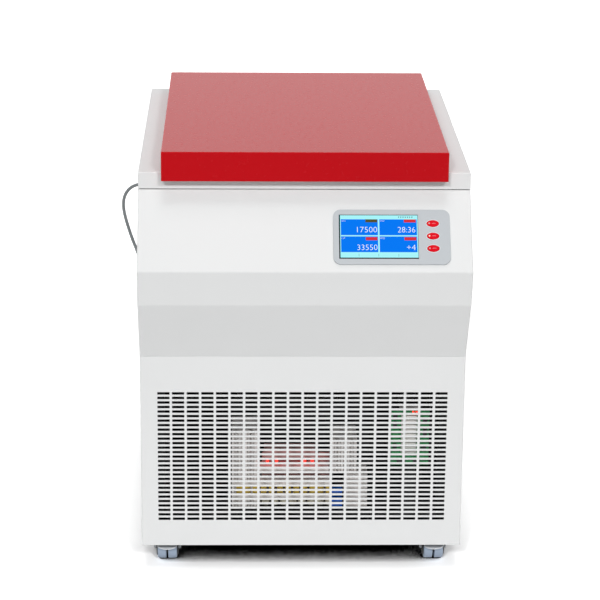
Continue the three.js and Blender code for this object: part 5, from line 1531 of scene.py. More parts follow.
@dataclass
class Chamber:
    """The bowl and what turns in it."""

    axis: Point2 = (0.0, 10.0)
    bowl: float = 212.0
    wall: float = 2.0
    corner: float = 40.0
    floor: float = 617.0
    rim: float = 22.0
    rim_top: float = 849.7
    hole: float = 45.0
    gasket: Span = (222.0, 238.0)
    gasket_z: Span = (852.8, 858.8)
    rotor_z: Span = (655.0, 752.0)
    rotor: float = 172.0
    hub: float = 60.0
    belly: float = 150.0
    belly_rise: float = 5.0
    shoulder: float = 35.0
    edge: float = 7.0
    cavity: float = 24.0
    cavity_corner: float = 8.0
    cavity_circle: float = 105.0
    cavity_depth: float = 75.0
    cavities: int = 6
    tilt: float = 25.0
    lid: float = 168.0
    lid_rim: float = 4.0
    lid_height: float = 18.0
    lid_hub: float = 50.0
    knob: float = 25.0
    knob_lobe: float = 3.0
    knob_lobes: int = 6
    knob_top: float = 800.0
    seam: float = 0.3
    spindle: float = 14.0
    stud: float = 6.0
    motor: Profile = (
        (0, 330), (80, 330), (86, 332), (88, 338), (88, 553), (116, 553), (118, 555), (118, 563),
        (116, 565), (38, 565), (38, 600), (15, 600), (15, 572), (0, 572),
    )
    mount: Profile = (
        (0, 565.3), (15, 565.3), (16, 567), (14.5, 575.5), (16, 584), (15, 585.7), (0, 585.7)
    )
    mounts: int = 3
    mount_circle: float = 97.0
    shaft: Profile = (
        (0, 573), (14, 573), (14, 648.7), (22, 648.7), (22, 654.7), (14, 654.7), (14, 744),
        (13, 745), (6, 745), (6, 789), (5, 790), (0, 790),
    )

    def build(self) -> None:
        """Make the bowl, its gasket, the motor, the rotor and its lid and knob."""
        self.build_bowl()
        self.build_gasket()
        self.build_rotor()
        self.build_rotor_lid()
        self.build_knob()
        self.build_drive()

    def turned(self, profile: Sequence[Point2], ring: bool = True) -> Form:
        """Return a profile turned finely about the spindle's axis."""
        return Form().lathe(profile, self.axis, steps=128 if ring else 96, ring=ring)

    def build_bowl(self) -> None:
        """Make the spun bowl with its rounded corner and its rolled rim."""
        turn = (self.bowl - self.corner, self.floor + self.corner)
        edge, top, under = self.bowl + self.rim, self.rim_top, self.rim_top - self.wall
        self.turned([
            (self.hole, self.floor), *arc(turn, self.corner, -90, 0, 16),
            *arc((self.bowl + 3, top - 3), 3, 180, 90, 4), (edge, top), (edge, under),
            (self.bowl + self.wall, under), *arc(turn, self.corner + self.wall, 0, -90, 16),
            (self.hole, self.floor - self.wall),
        ]).seat("spun_bowl", STAINLESS, "chamber_bowl")

    def build_gasket(self) -> None:
        """Make the gasket with two raised lips."""
        (inner, outer), (low, high) = self.gasket, self.gasket_z
        inset = (outer - inner) / 4
        lips = [p for r in (inner + inset, outer - inset) for p in arc((r, high - 2), 2, 180, 0, 8)]
        sides = [(outer, high - 2.4), (outer, low)]
        self.turned([(inner, low), (inner, high - 2.4), *lips, *sides]).seat(
            "gasket_ring", GASKET, "chamber_gasket"
        )

    def build_rotor(self) -> None:
        """Make the fixed-angle rotor with its tilted cavities bored out."""
        low, high = self.rotor_z
        bore, side, flank = self.spindle + self.seam, self.rotor, low + self.shoulder
        piece = self.turned([
            (bore, low), (self.hub, low), (self.belly, low + self.belly_rise),
            (side - 2, flank - 1), (side, flank + 1), (side, high - self.edge),
            *arc((side - self.edge, high - self.edge), self.edge, 0, 90, 6)[1:], (bore, high),
        ]).made("rotor_block", ROTOR_METAL)
        corner, depth = self.cavity_corner, self.cavity_depth
        foot = arc((self.cavity - corner, corner - depth), corner, -90, 0, 5)
        cavity = Form().lathe([(0, -depth), *foot, (self.cavity, depth), (0, depth)], steps=48)
        lean = Matrix.Rotation(radians(self.tilt), 4, "Y").inverted()
        cavity.turn(Matrix.Translation((self.cavity_circle, 0, high)) @ lean)
        bores = RING.make(
            "cavities", cavity.made("cavity", ROTOR_METAL), (*self.axis, 0), self.cavities,
            turn=(0, 0, 360 / self.cavities),
        )
        seated(even(carved(piece, bores)), "rotor_body", body="rotor")

    def build_rotor_lid(self) -> None:
        """Make the rotor's lid, dished down to its rim."""
        low = self.rotor_z[1] + self.seam
        bore, top = self.stud + self.seam, low + self.lid_height
        rim, hub = self.lid_rim, self.lid_hub
        self.turned([
            (bore, low), (self.lid - rim, low), *arc((self.lid - rim, low + rim), rim, -90, 90, 10),
            (hub + 14, top - 3), (hub + 4, top - 0.6), (hub, top), (bore, top),
        ]).seat("rotor_cover", ROTOR_METAL, "rotor_lid", body="rotor", weighted=True)

    def build_knob(self) -> None:
        """Make the six-lobed knob that holds the rotor's lid."""
        low = self.rotor_z[1] + self.lid_height + 2 * self.seam
        outline = []
        for angle in (2 * pi * i / 120 for i in range(120)):
            radius = self.knob + self.knob_lobe * cos(angle * self.knob_lobes)
            outline.append((radius * cos(angle), self.axis[1] + radius * sin(angle)))
        knob = Form().prism(outline, Axis.Z, (low, self.knob_top)).soften(1.6)
        bore = Form().cylinder(self.axis, self.stud + self.seam, (low - OVERRUN, self.knob_top - 8))
        piece = carved(knob.made("rotor_nut", BLACK_PLASTIC), bore)
        seated(even(piece), "rotor_knob", body="rotor_knob")

    def build_drive(self) -> None:
        """Make the motor, its rubber mounts and the spindle."""
        self.turned(self.motor, False).seat("motor_case", BLACK_PAINT, "drive_motor", weighted=True)
        for i in range(self.mounts):
            angle = pi / 2 + i * 2 * pi / self.mounts
            x, y = self.mount_circle * cos(angle), self.axis[1] + self.mount_circle * sin(angle)
            mount = Form().lathe(self.mount, (x, y), steps=SMALL_STEPS)
            mount.seat(f"buffer_{i + 1}", GASKET, f"rubber_mount_{i + 1}")
        shaft = Form().lathe(self.shaft, self.axis)
        shaft.seat("drive_shaft", SHAFT_STEEL, "spindle", body="rotor", weighted=True)
        dress("evaporator_jacket", COPPER)
        dress("insulation_shell", FOAM)
        dress("armour_ring", ZINC)


# The control face

@dataclass
class ControlFace:
    """The display, its surround and its keys on the sloping face.

    Places are across the cabinet and up the slope from the nose.
    """

    nose: Point3 = (0.0, -438.5, 677.5)
    up: Point2 = (0.6223, 0.782779)
    bezel: Area = ((56.1, 288.1), (16.1, 133.3))
    corner: float = 15.0
    thickness: float = 4.0
    seam: float = 0.3
    screen: Area = ((67.5, 224.5), (28.0, 122.0))
    recess: float = 0.8
    key_x: float = 254.0
    key_rises: Point3 = (103.2, 76.4, 49.8)
    key_size: Point2 = (24.6, 14.4)
    key_gap: float = 0.4
    key_proud: float = 1.5
    key_foot: float = -6.0
    crown: Point2 = (1.6, 1.2)
    crown_steps: int = 5
    ring_width: float = 1.1
    ring_proud: float = 0.25

    @property
    def face(self) -> float:
        """Return the height of the surround's face above the slope."""
        return self.seam + self.thickness

    def slope(self) -> Matrix:
        """Return the matrix from the sloping face to the frame, in millimetres."""
        across, normal = self.up
        return Matrix.Translation(self.nose) @ Matrix((
            (1, 0, 0, 0), (0, across, -normal, 0), (0, normal, across, 0), (0, 0, 0, 1)
        ))

    def oval(self, rise: float, grow: float) -> list[Point2]:
        """Return a key's outline, grown by a gap."""
        half_u, half_v = self.key_size[0] / 2 + grow, self.key_size[1] / 2 + grow
        turn = [2 * pi * i / 48 for i in range(48)]
        return [(self.key_x + half_u * cos(a), rise + half_v * sin(a)) for a in turn]

    def lay(self, form: Form, name: str, finish: Finish, *nodes: str, body: str = "root") -> None:
        """Lay a form on the slope and seat it."""
        form.turn(self.slope()).seat(name, finish, *nodes, body=body)

    def build(self) -> None:
        """Make the surround, the screen with what it shows, and the keys."""
        self.build_surround()
        self.build_screen()
        rings = Form()
        span = (self.face - 0.2, self.face + self.ring_proud)
        for i, rise in enumerate(self.key_rises):
            self.build_key(f"key_{i + 1}", rise, LAMP_WHITE if i == 1 else LAMP_FAINT)
            outline = self.oval(rise, self.key_gap + self.ring_width)
            rings.prism(outline, Axis.Z, span, [self.oval(rise, self.key_gap)])
        self.lay(rings, "key_rings", KEY_RIM)

    def build_surround(self) -> None:
        """Make the flat surround with its rounded corners and its openings."""
        (x0, x1), (s0, s1) = self.screen
        seam, high = self.seam, self.face
        holes = [rectangle((x0 - seam, x1 + seam), (s0 - seam, s1 + seam))]
        holes += [self.oval(rise, self.key_gap) for rise in self.key_rises]
        plate = Form().prism(rounded(*self.bezel, self.corner, 12), Axis.Z, (seam, high), holes)
        (a, b), (c, d) = self.bezel
        plate.soften(0.9, lambda e: all(
            v.co.z > high - 0.01 and not (a + 6 < v.co.x < b - 6 and c + 6 < v.co.y < d - 6)
            for v in e.verts
        ))
        plate.turn(self.slope())
        plate.seat("display_surround", SURROUND, "display_bezel", weighted=True)

    def build_screen(self) -> None:
        """Make the display's glass and its lit fields."""
        (x0, x1), (s0, s1) = self.screen
        front = self.face - self.recess
        base = Form().box((x0, x1), (s0, s1), (-12, front - 0.2))
        self.lay(base, "display_module", DISPLAY_FRAME, "display_screen")
        width, height = x1 - x0, s1 - s0

        def sheet(name: str, finish: Finish, level: float, fields: Sequence[Area]) -> None:
            """Lay thin lit fields, as shares of the width and of the height from the top."""
            form = Form()
            for u, v in fields:
                across, rise = [x0 + width * t for t in u], [s1 - height * t for t in v[::-1]]
                form.prism(rectangle(across, rise), Axis.Z, (front - 0.3, front + level))
            self.lay(form, name, finish)

        columns, rows = ((0.023, 0.491), (0.511, 0.985)), ((0.101, 0.463), (0.491, 0.849))
        upper, lower = (0.101, 0.17), (0.507, 0.578)
        marks = [((u, u + 0.004), (0.89, 0.95)) for u in (0.245, 0.494, 0.747)]
        marks += [((0.75 + 0.028 * i, 0.765 + 0.028 * i), (0.035, 0.062)) for i in range(7)]
        tags = [((0.823, 0.972), upper), ((0.337, 0.484), lower), ((0.825, 0.975), lower)]
        # The pale ground leaves more of the black mask at the left and the bottom than at the top
        # and the right: painted shadow of the surround's edge.
        sheet("display_ground", DISPLAY_PALE, -0.15, [((0.014, 0.997), (0.008, 0.972))])
        sheet("display_tiles", DISPLAY_BLUE, -0.1, [(u, v) for u in columns for v in rows])
        sheet("display_tag", DISPLAY_OLIVE, -0.05, [((0.334, 0.484), upper)])
        sheet("display_tags", DISPLAY_RED, -0.05, tags)
        sheet("display_marks", DISPLAY_DIM, -0.1, marks)
        labels = [
            (0.481, 0.399, 0.124, 0.253, "17500"), (0.964, 0.399, 0.124, 0.22, "28:36"),
            (0.481, 0.803, 0.124, 0.253, "33550"), (0.964, 0.803, 0.124, 0.11, "+4"),
            (0.082, 0.152, 0.034, 0.055, "rpm"), (0.575, 0.152, 0.034, 0.06, "time"),
            (0.075, 0.545, 0.034, 0.045, "rcf"), (0.578, 0.545, 0.034, 0.065, "temp"),
        ]
        for i, (right, base_line, tall, wide, text) in enumerate(labels):
            corner = Vector((x0 + width * right, s1 - height * base_line, front - 0.1))
            self.build_text(f"display_text_{i + 1}", text, corner, height * tall, width * wide)

    def build_text(self, name: str, text: str, corner: Vector, tall: float, wide: float) -> None:
        """Lay one number on the screen as thin raised figures.

        Args:
            name: The piece's name.
            text: The figures.
            corner: The place on the sloping face of their lower right corner, at their backs.
            tall: The height of a figure.
            wide: The width of them all.
        """
        curve = bpy.data.curves.new(name, "FONT")
        curve.body = text
        curve.resolution_u = 3
        curve.offset = -0.015
        piece = linked(name, curve)
        graph = bpy.context.evaluated_depsgraph_get()
        flat = bpy.data.meshes.new_from_object(piece.evaluated_get(graph))
        bpy.data.objects.remove(piece)
        figures = Form()
        mesh = figures.mesh
        mesh.from_mesh(flat)
        bmesh.ops.remove_doubles(mesh, verts=mesh.verts, dist=0.0005)
        (left, low), (right, high) = [
            [pick(v.co[i] for v in mesh.verts) for i in range(2)] for pick in (min, max)
        ]
        digit = tall / (high - max(low, 0) if high > 0.5 else 0.7)
        bmesh.ops.scale(mesh, vec=(wide / (right - left), digit, 1), verts=mesh.verts)
        figures.draw(list(mesh.faces), Vector((0, 0, 0.12)))
        edge = Vector((max(v.co.x for v in mesh.verts), 0, 0))
        figures.turn(Matrix.Translation(corner - edge))
        self.lay(figures, name, DISPLAY_WHITE)

    def build_key(self, node: str, rise: float, lamp_finish: Finish) -> None:
        """Make one oval key, crowned, with its diode and its mark.

        Args:
            node: The CAD node that it stands for, and the body that it rides on.
            rise: Its place up the slope.
            lamp_finish: Whether its diode is lit or resting.
        """
        top = self.face + self.key_proud
        inset, height = self.crown
        loops = [(self.oval(rise, 0.0), self.key_foot)]
        for angle in (pi / 2 * i / self.crown_steps for i in range(self.crown_steps + 1)):
            z = top - height + height * sin(angle)
            loops.append((self.oval(rise, (cos(angle) - 1) * inset), z))
        cap = Form().loft([[Vector((u, v, z)) for u, v in loop] for loop, z in loops])
        self.lay(cap, node + "_cap", KEY_RED, node, body=node)
        dome = [(0, top - 1), (1.7, top - 1), (1.5, top + 0.1), (0.9, top + 0.35), (0, top + 0.42)]
        lamp = Form().lathe(dome, (self.key_x - 7.2, rise), steps=20)
        self.lay(lamp, node + "_diode", lamp_finish, body=node)
        mark = Form()
        for i in range(4):
            x = self.key_x - 1.6 + 1.9 * i
            mark.box((x, x + 1.2), about(rise, 0.55), (top - 0.5, top + 0.04))
        self.lay(mark, node + "_mark", KEY_MARK, body=node)


# Casters

@dataclass
class Casters:
    """Four twin-wheel swivel casters, the front pair with brake pedals."""

    x: float = 281.0
    front: float = -263.0
    rear: float = 340.0
    trail: float = 20.0
    wheel: float = 25.0
    wheel_width: float = 18.5
    gap: float = 4.0
    axle: float = 5.0
    nut: float = 5.0
    nut_seat: float = 3.2
    nut_length: float = 8.2
    cheek: float = 19.5
    cheek_thickness: float = 2.6
    web: float = 3.0
    hub: float = 14.0
    race: float = 21.0
    bridge: Span = (53.0, 60.0)
    race_top: float = 69.7
    stem: float = 5.0
    stem_top: float = 80.7
    half: float = 21.0
    pin: float = 2.5
    barrel: float = 4.6
    barrel_half: float = 9.0
    ear: float = 3.0
    pedal_gap: float = 6.0
    pedal_sheet: float = 2.5
    pedal_lip: float = 8.0
    pedal_arc: Span = (20.0, 52.0)
    pedal_round: float = 17.0
    seam: float = 0.3

    def build(self) -> None:
        """Make the four casters."""
        for side, side_name in ((-1, "left"), (1, "right")):
            for end, end_name, y in ((-1, "front", self.front), (1, "rear", self.rear)):
                name = end_name + "_" + side_name
                x, axle_y = side * self.x, y + end * self.trail
                self.build_wheels(name, x, axle_y)
                self.build_yoke(name, x, y, end)
                if end < 0:
                    self.build_pedal(name, x, axle_y, end)

    def build_wheels(self, name: str, x: float, y: float) -> None:
        """Make the two tyres, their dished hubs, their caps and the axle with its nuts.

        Args:
            name: The caster's name.
            x: The caster's middle.
            y: The axle's place.
        """
        r, nut, seat, bore, rim = self.wheel, self.nut, self.nut_seat, self.axle + 0.2, self.cheek
        inner, outer = self.gap / 2, self.gap / 2 + self.wheel_width
        end, face, centre = outer + self.nut_length, outer + self.cheek_thickness, (y, r)
        axle = [
            (0, outer - 3), (nut - 1, outer - 3), (nut - 1, outer + seat), (nut, outer + seat),
            (nut, end - 2.4), (nut - 1, end - 0.9), (nut - 2.8, end), (0, end),
        ]
        tyre = [
            (r - 6, inner), (r - 1.6, inner), (r - 0.5, inner + 0.5), (r, inner + 1.6),
            (r, outer - 3), (r - 0.8, outer - 1.2), (r - 2.5, outer - 0.2), (r - 6, outer),
        ]
        hub = [
            (self.axle, inner), (r - 6, inner), (r - 6, outer - 0.4), (r - 7.2, outer - 0.6),
            (r - 8.5, outer - 2.2), (9, outer - 2.6), (8, outer - 1.6), (self.axle, outer - 1.6),
        ]
        cap = [
            (bore, outer - 1.4), (8, outer - 1.4), (9, outer - 2.4), (rim - 2.2, outer - 2),
            (rim - 1.6, outer + 0.1), (rim, outer + 0.2), (rim - 0.6, outer + 1.4),
            (rim - 3, face), (bore, face),
        ]
        for piece, finish, profile, nodes in (
            ("tyres_", TREAD, tyre, ["caster_wheels_" + name]), ("wheel_hubs_", HUB, hub, []),
            ("axle_", PEDAL_PLATE, axle, []), ("wheel_caps_", BLACK_PLASTIC, cap, []),
        ):
            form, ring = Form(), profile is not axle
            for side in (-1, 1):
                placed = [(radius, x + side * h) for radius, h in profile]
                form.lathe(placed, centre, Axis.X, ROUND_STEPS if ring else SMALL_STEPS, ring)
            if not ring:
                form.cylinder(centre, self.axle, about(x, outer - 2), Axis.X, SMALL_STEPS)
            form.seat(piece + name, finish, *nodes, body="wheels_" + name, weighted=True)

    def build_yoke(self, name: str, x: float, y: float, end: int) -> None:
        """Make the pressed yoke, its swivel race, its stem and the web between the wheels.

        Args:
            name: The caster's name.
            x: The swivel's place across the machine.
            y: The swivel's place from front to back.
            end: -1 where the wheels stand in front of the swivel, and 1 where behind it.
        """
        axle_y = y + end * self.trail
        low, high = self.bridge
        web, race = about(x, self.web / 2), self.race
        span = between(axle_y - end * race, axle_y)
        plate = Form().prism(rectangle(span, (self.wheel, low + 1)), Axis.X, web)
        bush = sleeve(self.axle + self.seam, self.hub, web)
        plate.lathe(bush, (axle_y, self.wheel), Axis.X, 48, True)
        form = Form()
        bridge_end = axle_y + end * self.wheel / 2
        span = between(bridge_end, y - end * race)
        form.prism(rounded(about(x, self.half), span, 5), Axis.Z, self.bridge).soften(0.8)
        form.lathe([
            (0, high - 1), (race, high - 1), (race, high + 2.6), (race - 1.4, high + 3.4),
            (race - 1.4, high + 4.6), (race, high + 5.4), (race, self.race_top - 0.8),
            (race - 1, self.race_top), (0, self.race_top),
        ], (x, y))
        form.cylinder((x, y), self.stem, (self.race_top - 1, self.stem_top), steps=24, edge=0.6)
        if end < 0:
            pin = (bridge_end + end * (self.barrel + self.seam), (low + high) / 2)
            lug = arc(pin, (high - low) / 2, 90, 270, 10)
            lug += [(bridge_end + 3, low), (bridge_end + 3, high)]
            for side in (-1, 1):
                inner = x + side * (self.barrel_half + self.seam)
                form.prism(lug, Axis.X, between(inner, inner + side * self.ear))
            form.cylinder(pin, self.pin, about(x, self.barrel_half + 2), Axis.X, 24)
        body = "swivel_" + name
        form.seat("swivel_yoke_" + name, ZINC, "caster_yoke_" + name, body=body, weighted=True)
        plate.seat("swivel_web_" + name, BLACK_PLASTIC, body=body)

    def build_pedal(self, name: str, x: float, axle_y: float, end: int) -> None:
        """Make the pressed pedal that arches over both wheels.

        Args:
            name: The caster's name.
            x: The caster's middle.
            axle_y: The axle's place.
            end: -1 at the front of the machine, and 1 at the back.
        """
        pin_y = axle_y + end * (self.wheel / 2 + self.barrel + self.seam)
        pin_z = sum(self.bridge) / 2
        inner = self.wheel + self.pedal_gap
        outer = inner + self.pedal_sheet
        low, high = self.pedal_arc
        back = arc((0, self.wheel), inner, high, low, 12)
        front = arc((0, self.wheel), outer, low, high, 12)
        tip, reach = front[0][1], outer + self.pedal_lip
        section = [*back, (reach, tip - self.pedal_sheet), (reach, tip), *front[1:]]
        outline = [(axle_y + end * u, v) for u, v in section]
        sheet = Form().prism(outline, Axis.X, about(x, self.half))
        tip_y = axle_y + end * reach
        rim = [
            (x + (self.half + 0.2) * sin(a), tip_y - end * self.pedal_round * (1 - cos(a)))
            for a in (radians(-90 + 180 * i / 32) for i in range(33))
        ]
        left, right = about(x, self.half + OVERRUN)
        past = tip_y + end * OVERRUN
        around = [*rim, (right, rim[-1][1]), (right, past), (left, past), (left, rim[0][1])]
        waste = Form().prism(around, Axis.Z, (0, 2 * self.wheel))
        plate = carved(sheet.made("brake_lever_" + name, PEDAL_PLATE), waste)
        root = [(axle_y + end * u, v) for u, v in (back[0], front[-1])]
        span = about(x, self.barrel_half)
        strap = Form().prism(
            [*root, (pin_y, pin_z + self.barrel), (pin_y, pin_z - self.barrel)], Axis.X, span
        )
        barrel = sleeve(self.pin + self.seam, self.barrel, span)
        strap.lathe(barrel, (pin_y, pin_z), Axis.X, SMALL_STEPS, True)
        lever = joined(plate, strap.made("pedal_strap", PEDAL_PLATE))
        seated(even(lever), "brake_pedal_" + name, body="pedal_" + name)


def sleeve(inner: float, outer: float, span: Span) -> list[Point2]:
    """Return the profile of a sleeve from its two radii and its ends."""
    return [(inner, span[0]), (outer, span[0]), (outer, span[1]), (inner, span[1])]


# Refrigeration

@dataclass
class Refrigeration:
    """The compressor, the condenser with its fan, and the copper lines."""

    frame_top: float = 76.3
    can: Point2 = (170.0, 235.0)
    can_radius: float = 72.0
    can_top: float = 266.0
    can_seam: float = 168.0
    dome: float = 34.0
    foot: float = 76.0
    left: float = -250.0
    right: float = 30.0
    front: float = 345.0
    depth: float = 50.0
    top: float = 380.0
    fins: int = 112
    fin_pitch: float = 2.4
    tubes: int = 9
    fan: Point2 = (-110.0, 228.0)
    fan_radius: float = 98.0
    fan_gap: float = 6.0
    fan_hub: float = 26.0
    fan_y: Span = (294.0, 320.0)
    shroud: Span = (314.0, 324.0)
    bar: Span = (322.0, 329.0)
    bar_half: float = 9.0
    pin: float = 5.0
    pin_start: float = 302.0
    blades: int = 5
    blade: float = 1.8
    chord: Span = (18.0, 28.0)
    twist: Span = (34.0, 20.0)
    camber: float = 2.6
    line_place: Point2 = (103.75, 205.13)
    line_bend: float = 30.0
    jacket: float = 659.7
    drier: Profile = (
        (5.3, 470), (9, 471), (14, 478), (16, 484), (16, 546), (14, 552), (9, 559), (5.3, 560)
    )

    def build(self) -> None:
        """Make the whole refrigeration set."""
        self.build_compressor()
        self.build_condenser()
        self.build_fan()
        self.build_lines()

    def build_compressor(self) -> None:
        """Make the welded can on its foot plate."""
        low, top, seam = self.frame_top, self.can_top, self.can_seam
        wide, narrow, shoulder = self.can_radius, self.can_radius - 3, top - self.dome
        profile = [
            (0, low + 0.5), (narrow, low + 0.5), (narrow, seam), (wide, seam + 1),
            (wide, seam + 10), (narrow, seam + 11), (narrow, shoulder),
        ]
        for u, v in arc((0, 0), 1, 8, 84, 12):
            profile.append((wide * u - 3 * (1 - v), shoulder + self.dome * v))
        can = Form().lathe([*profile, (0, top)], self.can, steps=96)
        stub = [(0, shoulder), (10, shoulder), (10, top + 3), (8, top + 6), (0, top + 6)]
        can.lathe(stub, self.can, steps=SMALL_STEPS)
        sides = [about(c, self.foot) for c in self.can]
        can.prism(rounded(*sides, 14), Axis.Z, (low, low + 6))
        can.seat("compressor_can", BLACK_PAINT, "compressor", weighted=True)

    def build_condenser(self) -> None:
        """Make the finned block: thin fins on tubes, between two end plates."""
        x, y = (self.left, self.right), (self.front, self.front + self.depth)
        low, top = self.frame_top, self.top
        fin = Form().box(about(0, 0.15), (y[0] + 1, y[1] - 1), (low + 3, top - 3))
        unit = fin.made("fin", SHEET_METAL)
        pitch = (self.fin_pitch, 0, 0)
        seated(GRID.make("condenser_fins", unit, (sum(x) / 2, 0, 0), self.fins, 1, pitch))
        ends = Form()
        for side in ((x[0], x[0] + 2), (x[1] - 2, x[1])):
            ends.box(side, y, (low, top))
        for level in ((low, low + 2), (top - 2, top)):
            ends.box(x, y, level)
        ends.seat("condenser_frame", ZINC, "condenser_core")
        rise = (top - low - 30) / (self.tubes - 1)
        line = []
        for row in range(self.tubes):
            turns = (x[0] + 10, x[1] - 10)[::-1 if row % 2 else 1]
            line += [Vector((turn, sum(y) / 2, low + 15 + rise * row)) for turn in turns]
        Form().tube(fillet(line, rise * 0.45, 8), 4, 14).seat("condenser_tube", COPPER)

    def build_fan(self) -> None:
        """Make the shroud with its round mouth, and the fan with twisted blades."""
        low, high = self.shroud
        wide, (x, z), hub_radius = (self.left, self.right), self.fan, self.fan_hub
        plate = Form().box(wide, self.shroud, (self.frame_top, self.top)).soften(1.0)
        mouth = Form().cylinder(
            self.fan, self.fan_radius + self.fan_gap, (low - OVERRUN, high + OVERRUN), Axis.Y, 96
        )
        piece = carved(plate.made("fan_plate", BLACK_PAINT), mouth)
        bars = Form().box(wide, self.bar, about(z, self.bar_half)).soften(1.0)
        bars.cylinder(self.fan, hub_radius, self.bar, Axis.Y, 48, 1.5)
        bars.cylinder(self.fan, self.pin, (self.pin_start, high), Axis.Y, 24)
        seated(even(joined(piece, bars.made("bars", BLACK_PAINT))), "fan_shroud")
        blade = Form()
        rows = []
        root = hub_radius * 0.8
        for share in (i / 10 for i in range(11)):
            radius, chord, twist = [
                a + (b - a) * share for a, b in ((root, self.fan_radius), self.chord, self.twist)
            ]
            pitch = radians(twist)
            row = []
            for u in (j / 4 - 1 for j in range(9)):
                angle = chord * u * cos(pitch) / radius
                y = chord * u * sin(pitch) * 0.9 + self.camber * (1 - u * u)
                at = (radius * sin(angle), y, radius * cos(angle))
                row.append(blade.mesh.verts.new(at))
            rows.append(row)
        for near, far in zip(rows, rows[1:]):
            for corners in zip(near, near[1:], far[1:], far):
                blade.mesh.faces.new(corners)
        unit = thickened(blade.made("blade", BLACK_PLASTIC), self.blade, 0.0)
        middle, turn = (x, sum(self.fan_y) / 2, z), (0, 360 / self.blades, 0)
        blades = RING.make("blades", unit, middle, self.blades, turn=turn)
        start, stop = self.fan_y
        hub = Form().lathe([
            (5.6, start + 8), (5.6, stop), (hub_radius, stop), (hub_radius, start + 3),
            (hub_radius - 3, start), (0, start), (0, start + 8),
        ], self.fan, Axis.Y, 48)
        whole = joined(hub.made("fan_rotor", BLACK_PLASTIC), blades)
        seated(shaded(whole), "fan_blades", body="fan")

    def build_lines(self) -> None:
        """Make the suction line, the liquid line and the drier in it."""
        (x, y), (can_x, can_y) = self.line_place, self.can
        fan_x, end_y = self.fan[0], self.front + self.depth / 2
        suction = [
            (x, y, self.jacket), (x, y, 500), (can_x, can_y, 400),
            (can_x, can_y, self.can_top + 6.3),
        ]
        liquid = [
            (-x, y, self.jacket), (-x, y, 425), (fan_x, end_y, 425), (fan_x, end_y, self.top + 0.3)
        ]
        for name, points, radius in (("suction", suction, 6), ("liquid", liquid, 5)):
            path = fillet([Vector(p) for p in points], self.line_bend, 10)
            tube = Form().tube(path, radius, 20)
            seated(tube.made(name + "_tube", COPPER, 50), name + "_line")
        drier = Form().lathe(self.drier, (-x, y), steps=48, ring=True)
        drier.seat("drier_shell", COPPER, "filter_drier")


def fillet(points: Sequence[Vector], bend: float, steps: int) -> list[Vector]:
    """Return a path through corner points with a smooth bend at each corner.

    Args:
        points: The corners in order.
        bend: How far from a corner its bend starts.
        steps: Pieces in each bend.

    Returns:
        The path's points.
    """
    path = [points[0]]
    for before, corner, after in zip(points, points[1:], points[2:]):
        back, ahead = before - corner, after - corner
        reach = min(bend, back.length / 2, ahead.length / 2)
        start, end = [corner + way.normalized() * reach for way in (back, ahead)]
        for t in (i / steps for i in range(steps + 1)):
            path.append(start * (1 - t) ** 2 + corner * 2 * t * (1 - t) + end * t ** 2)
    return [*path, points[-1]]


# Electronics

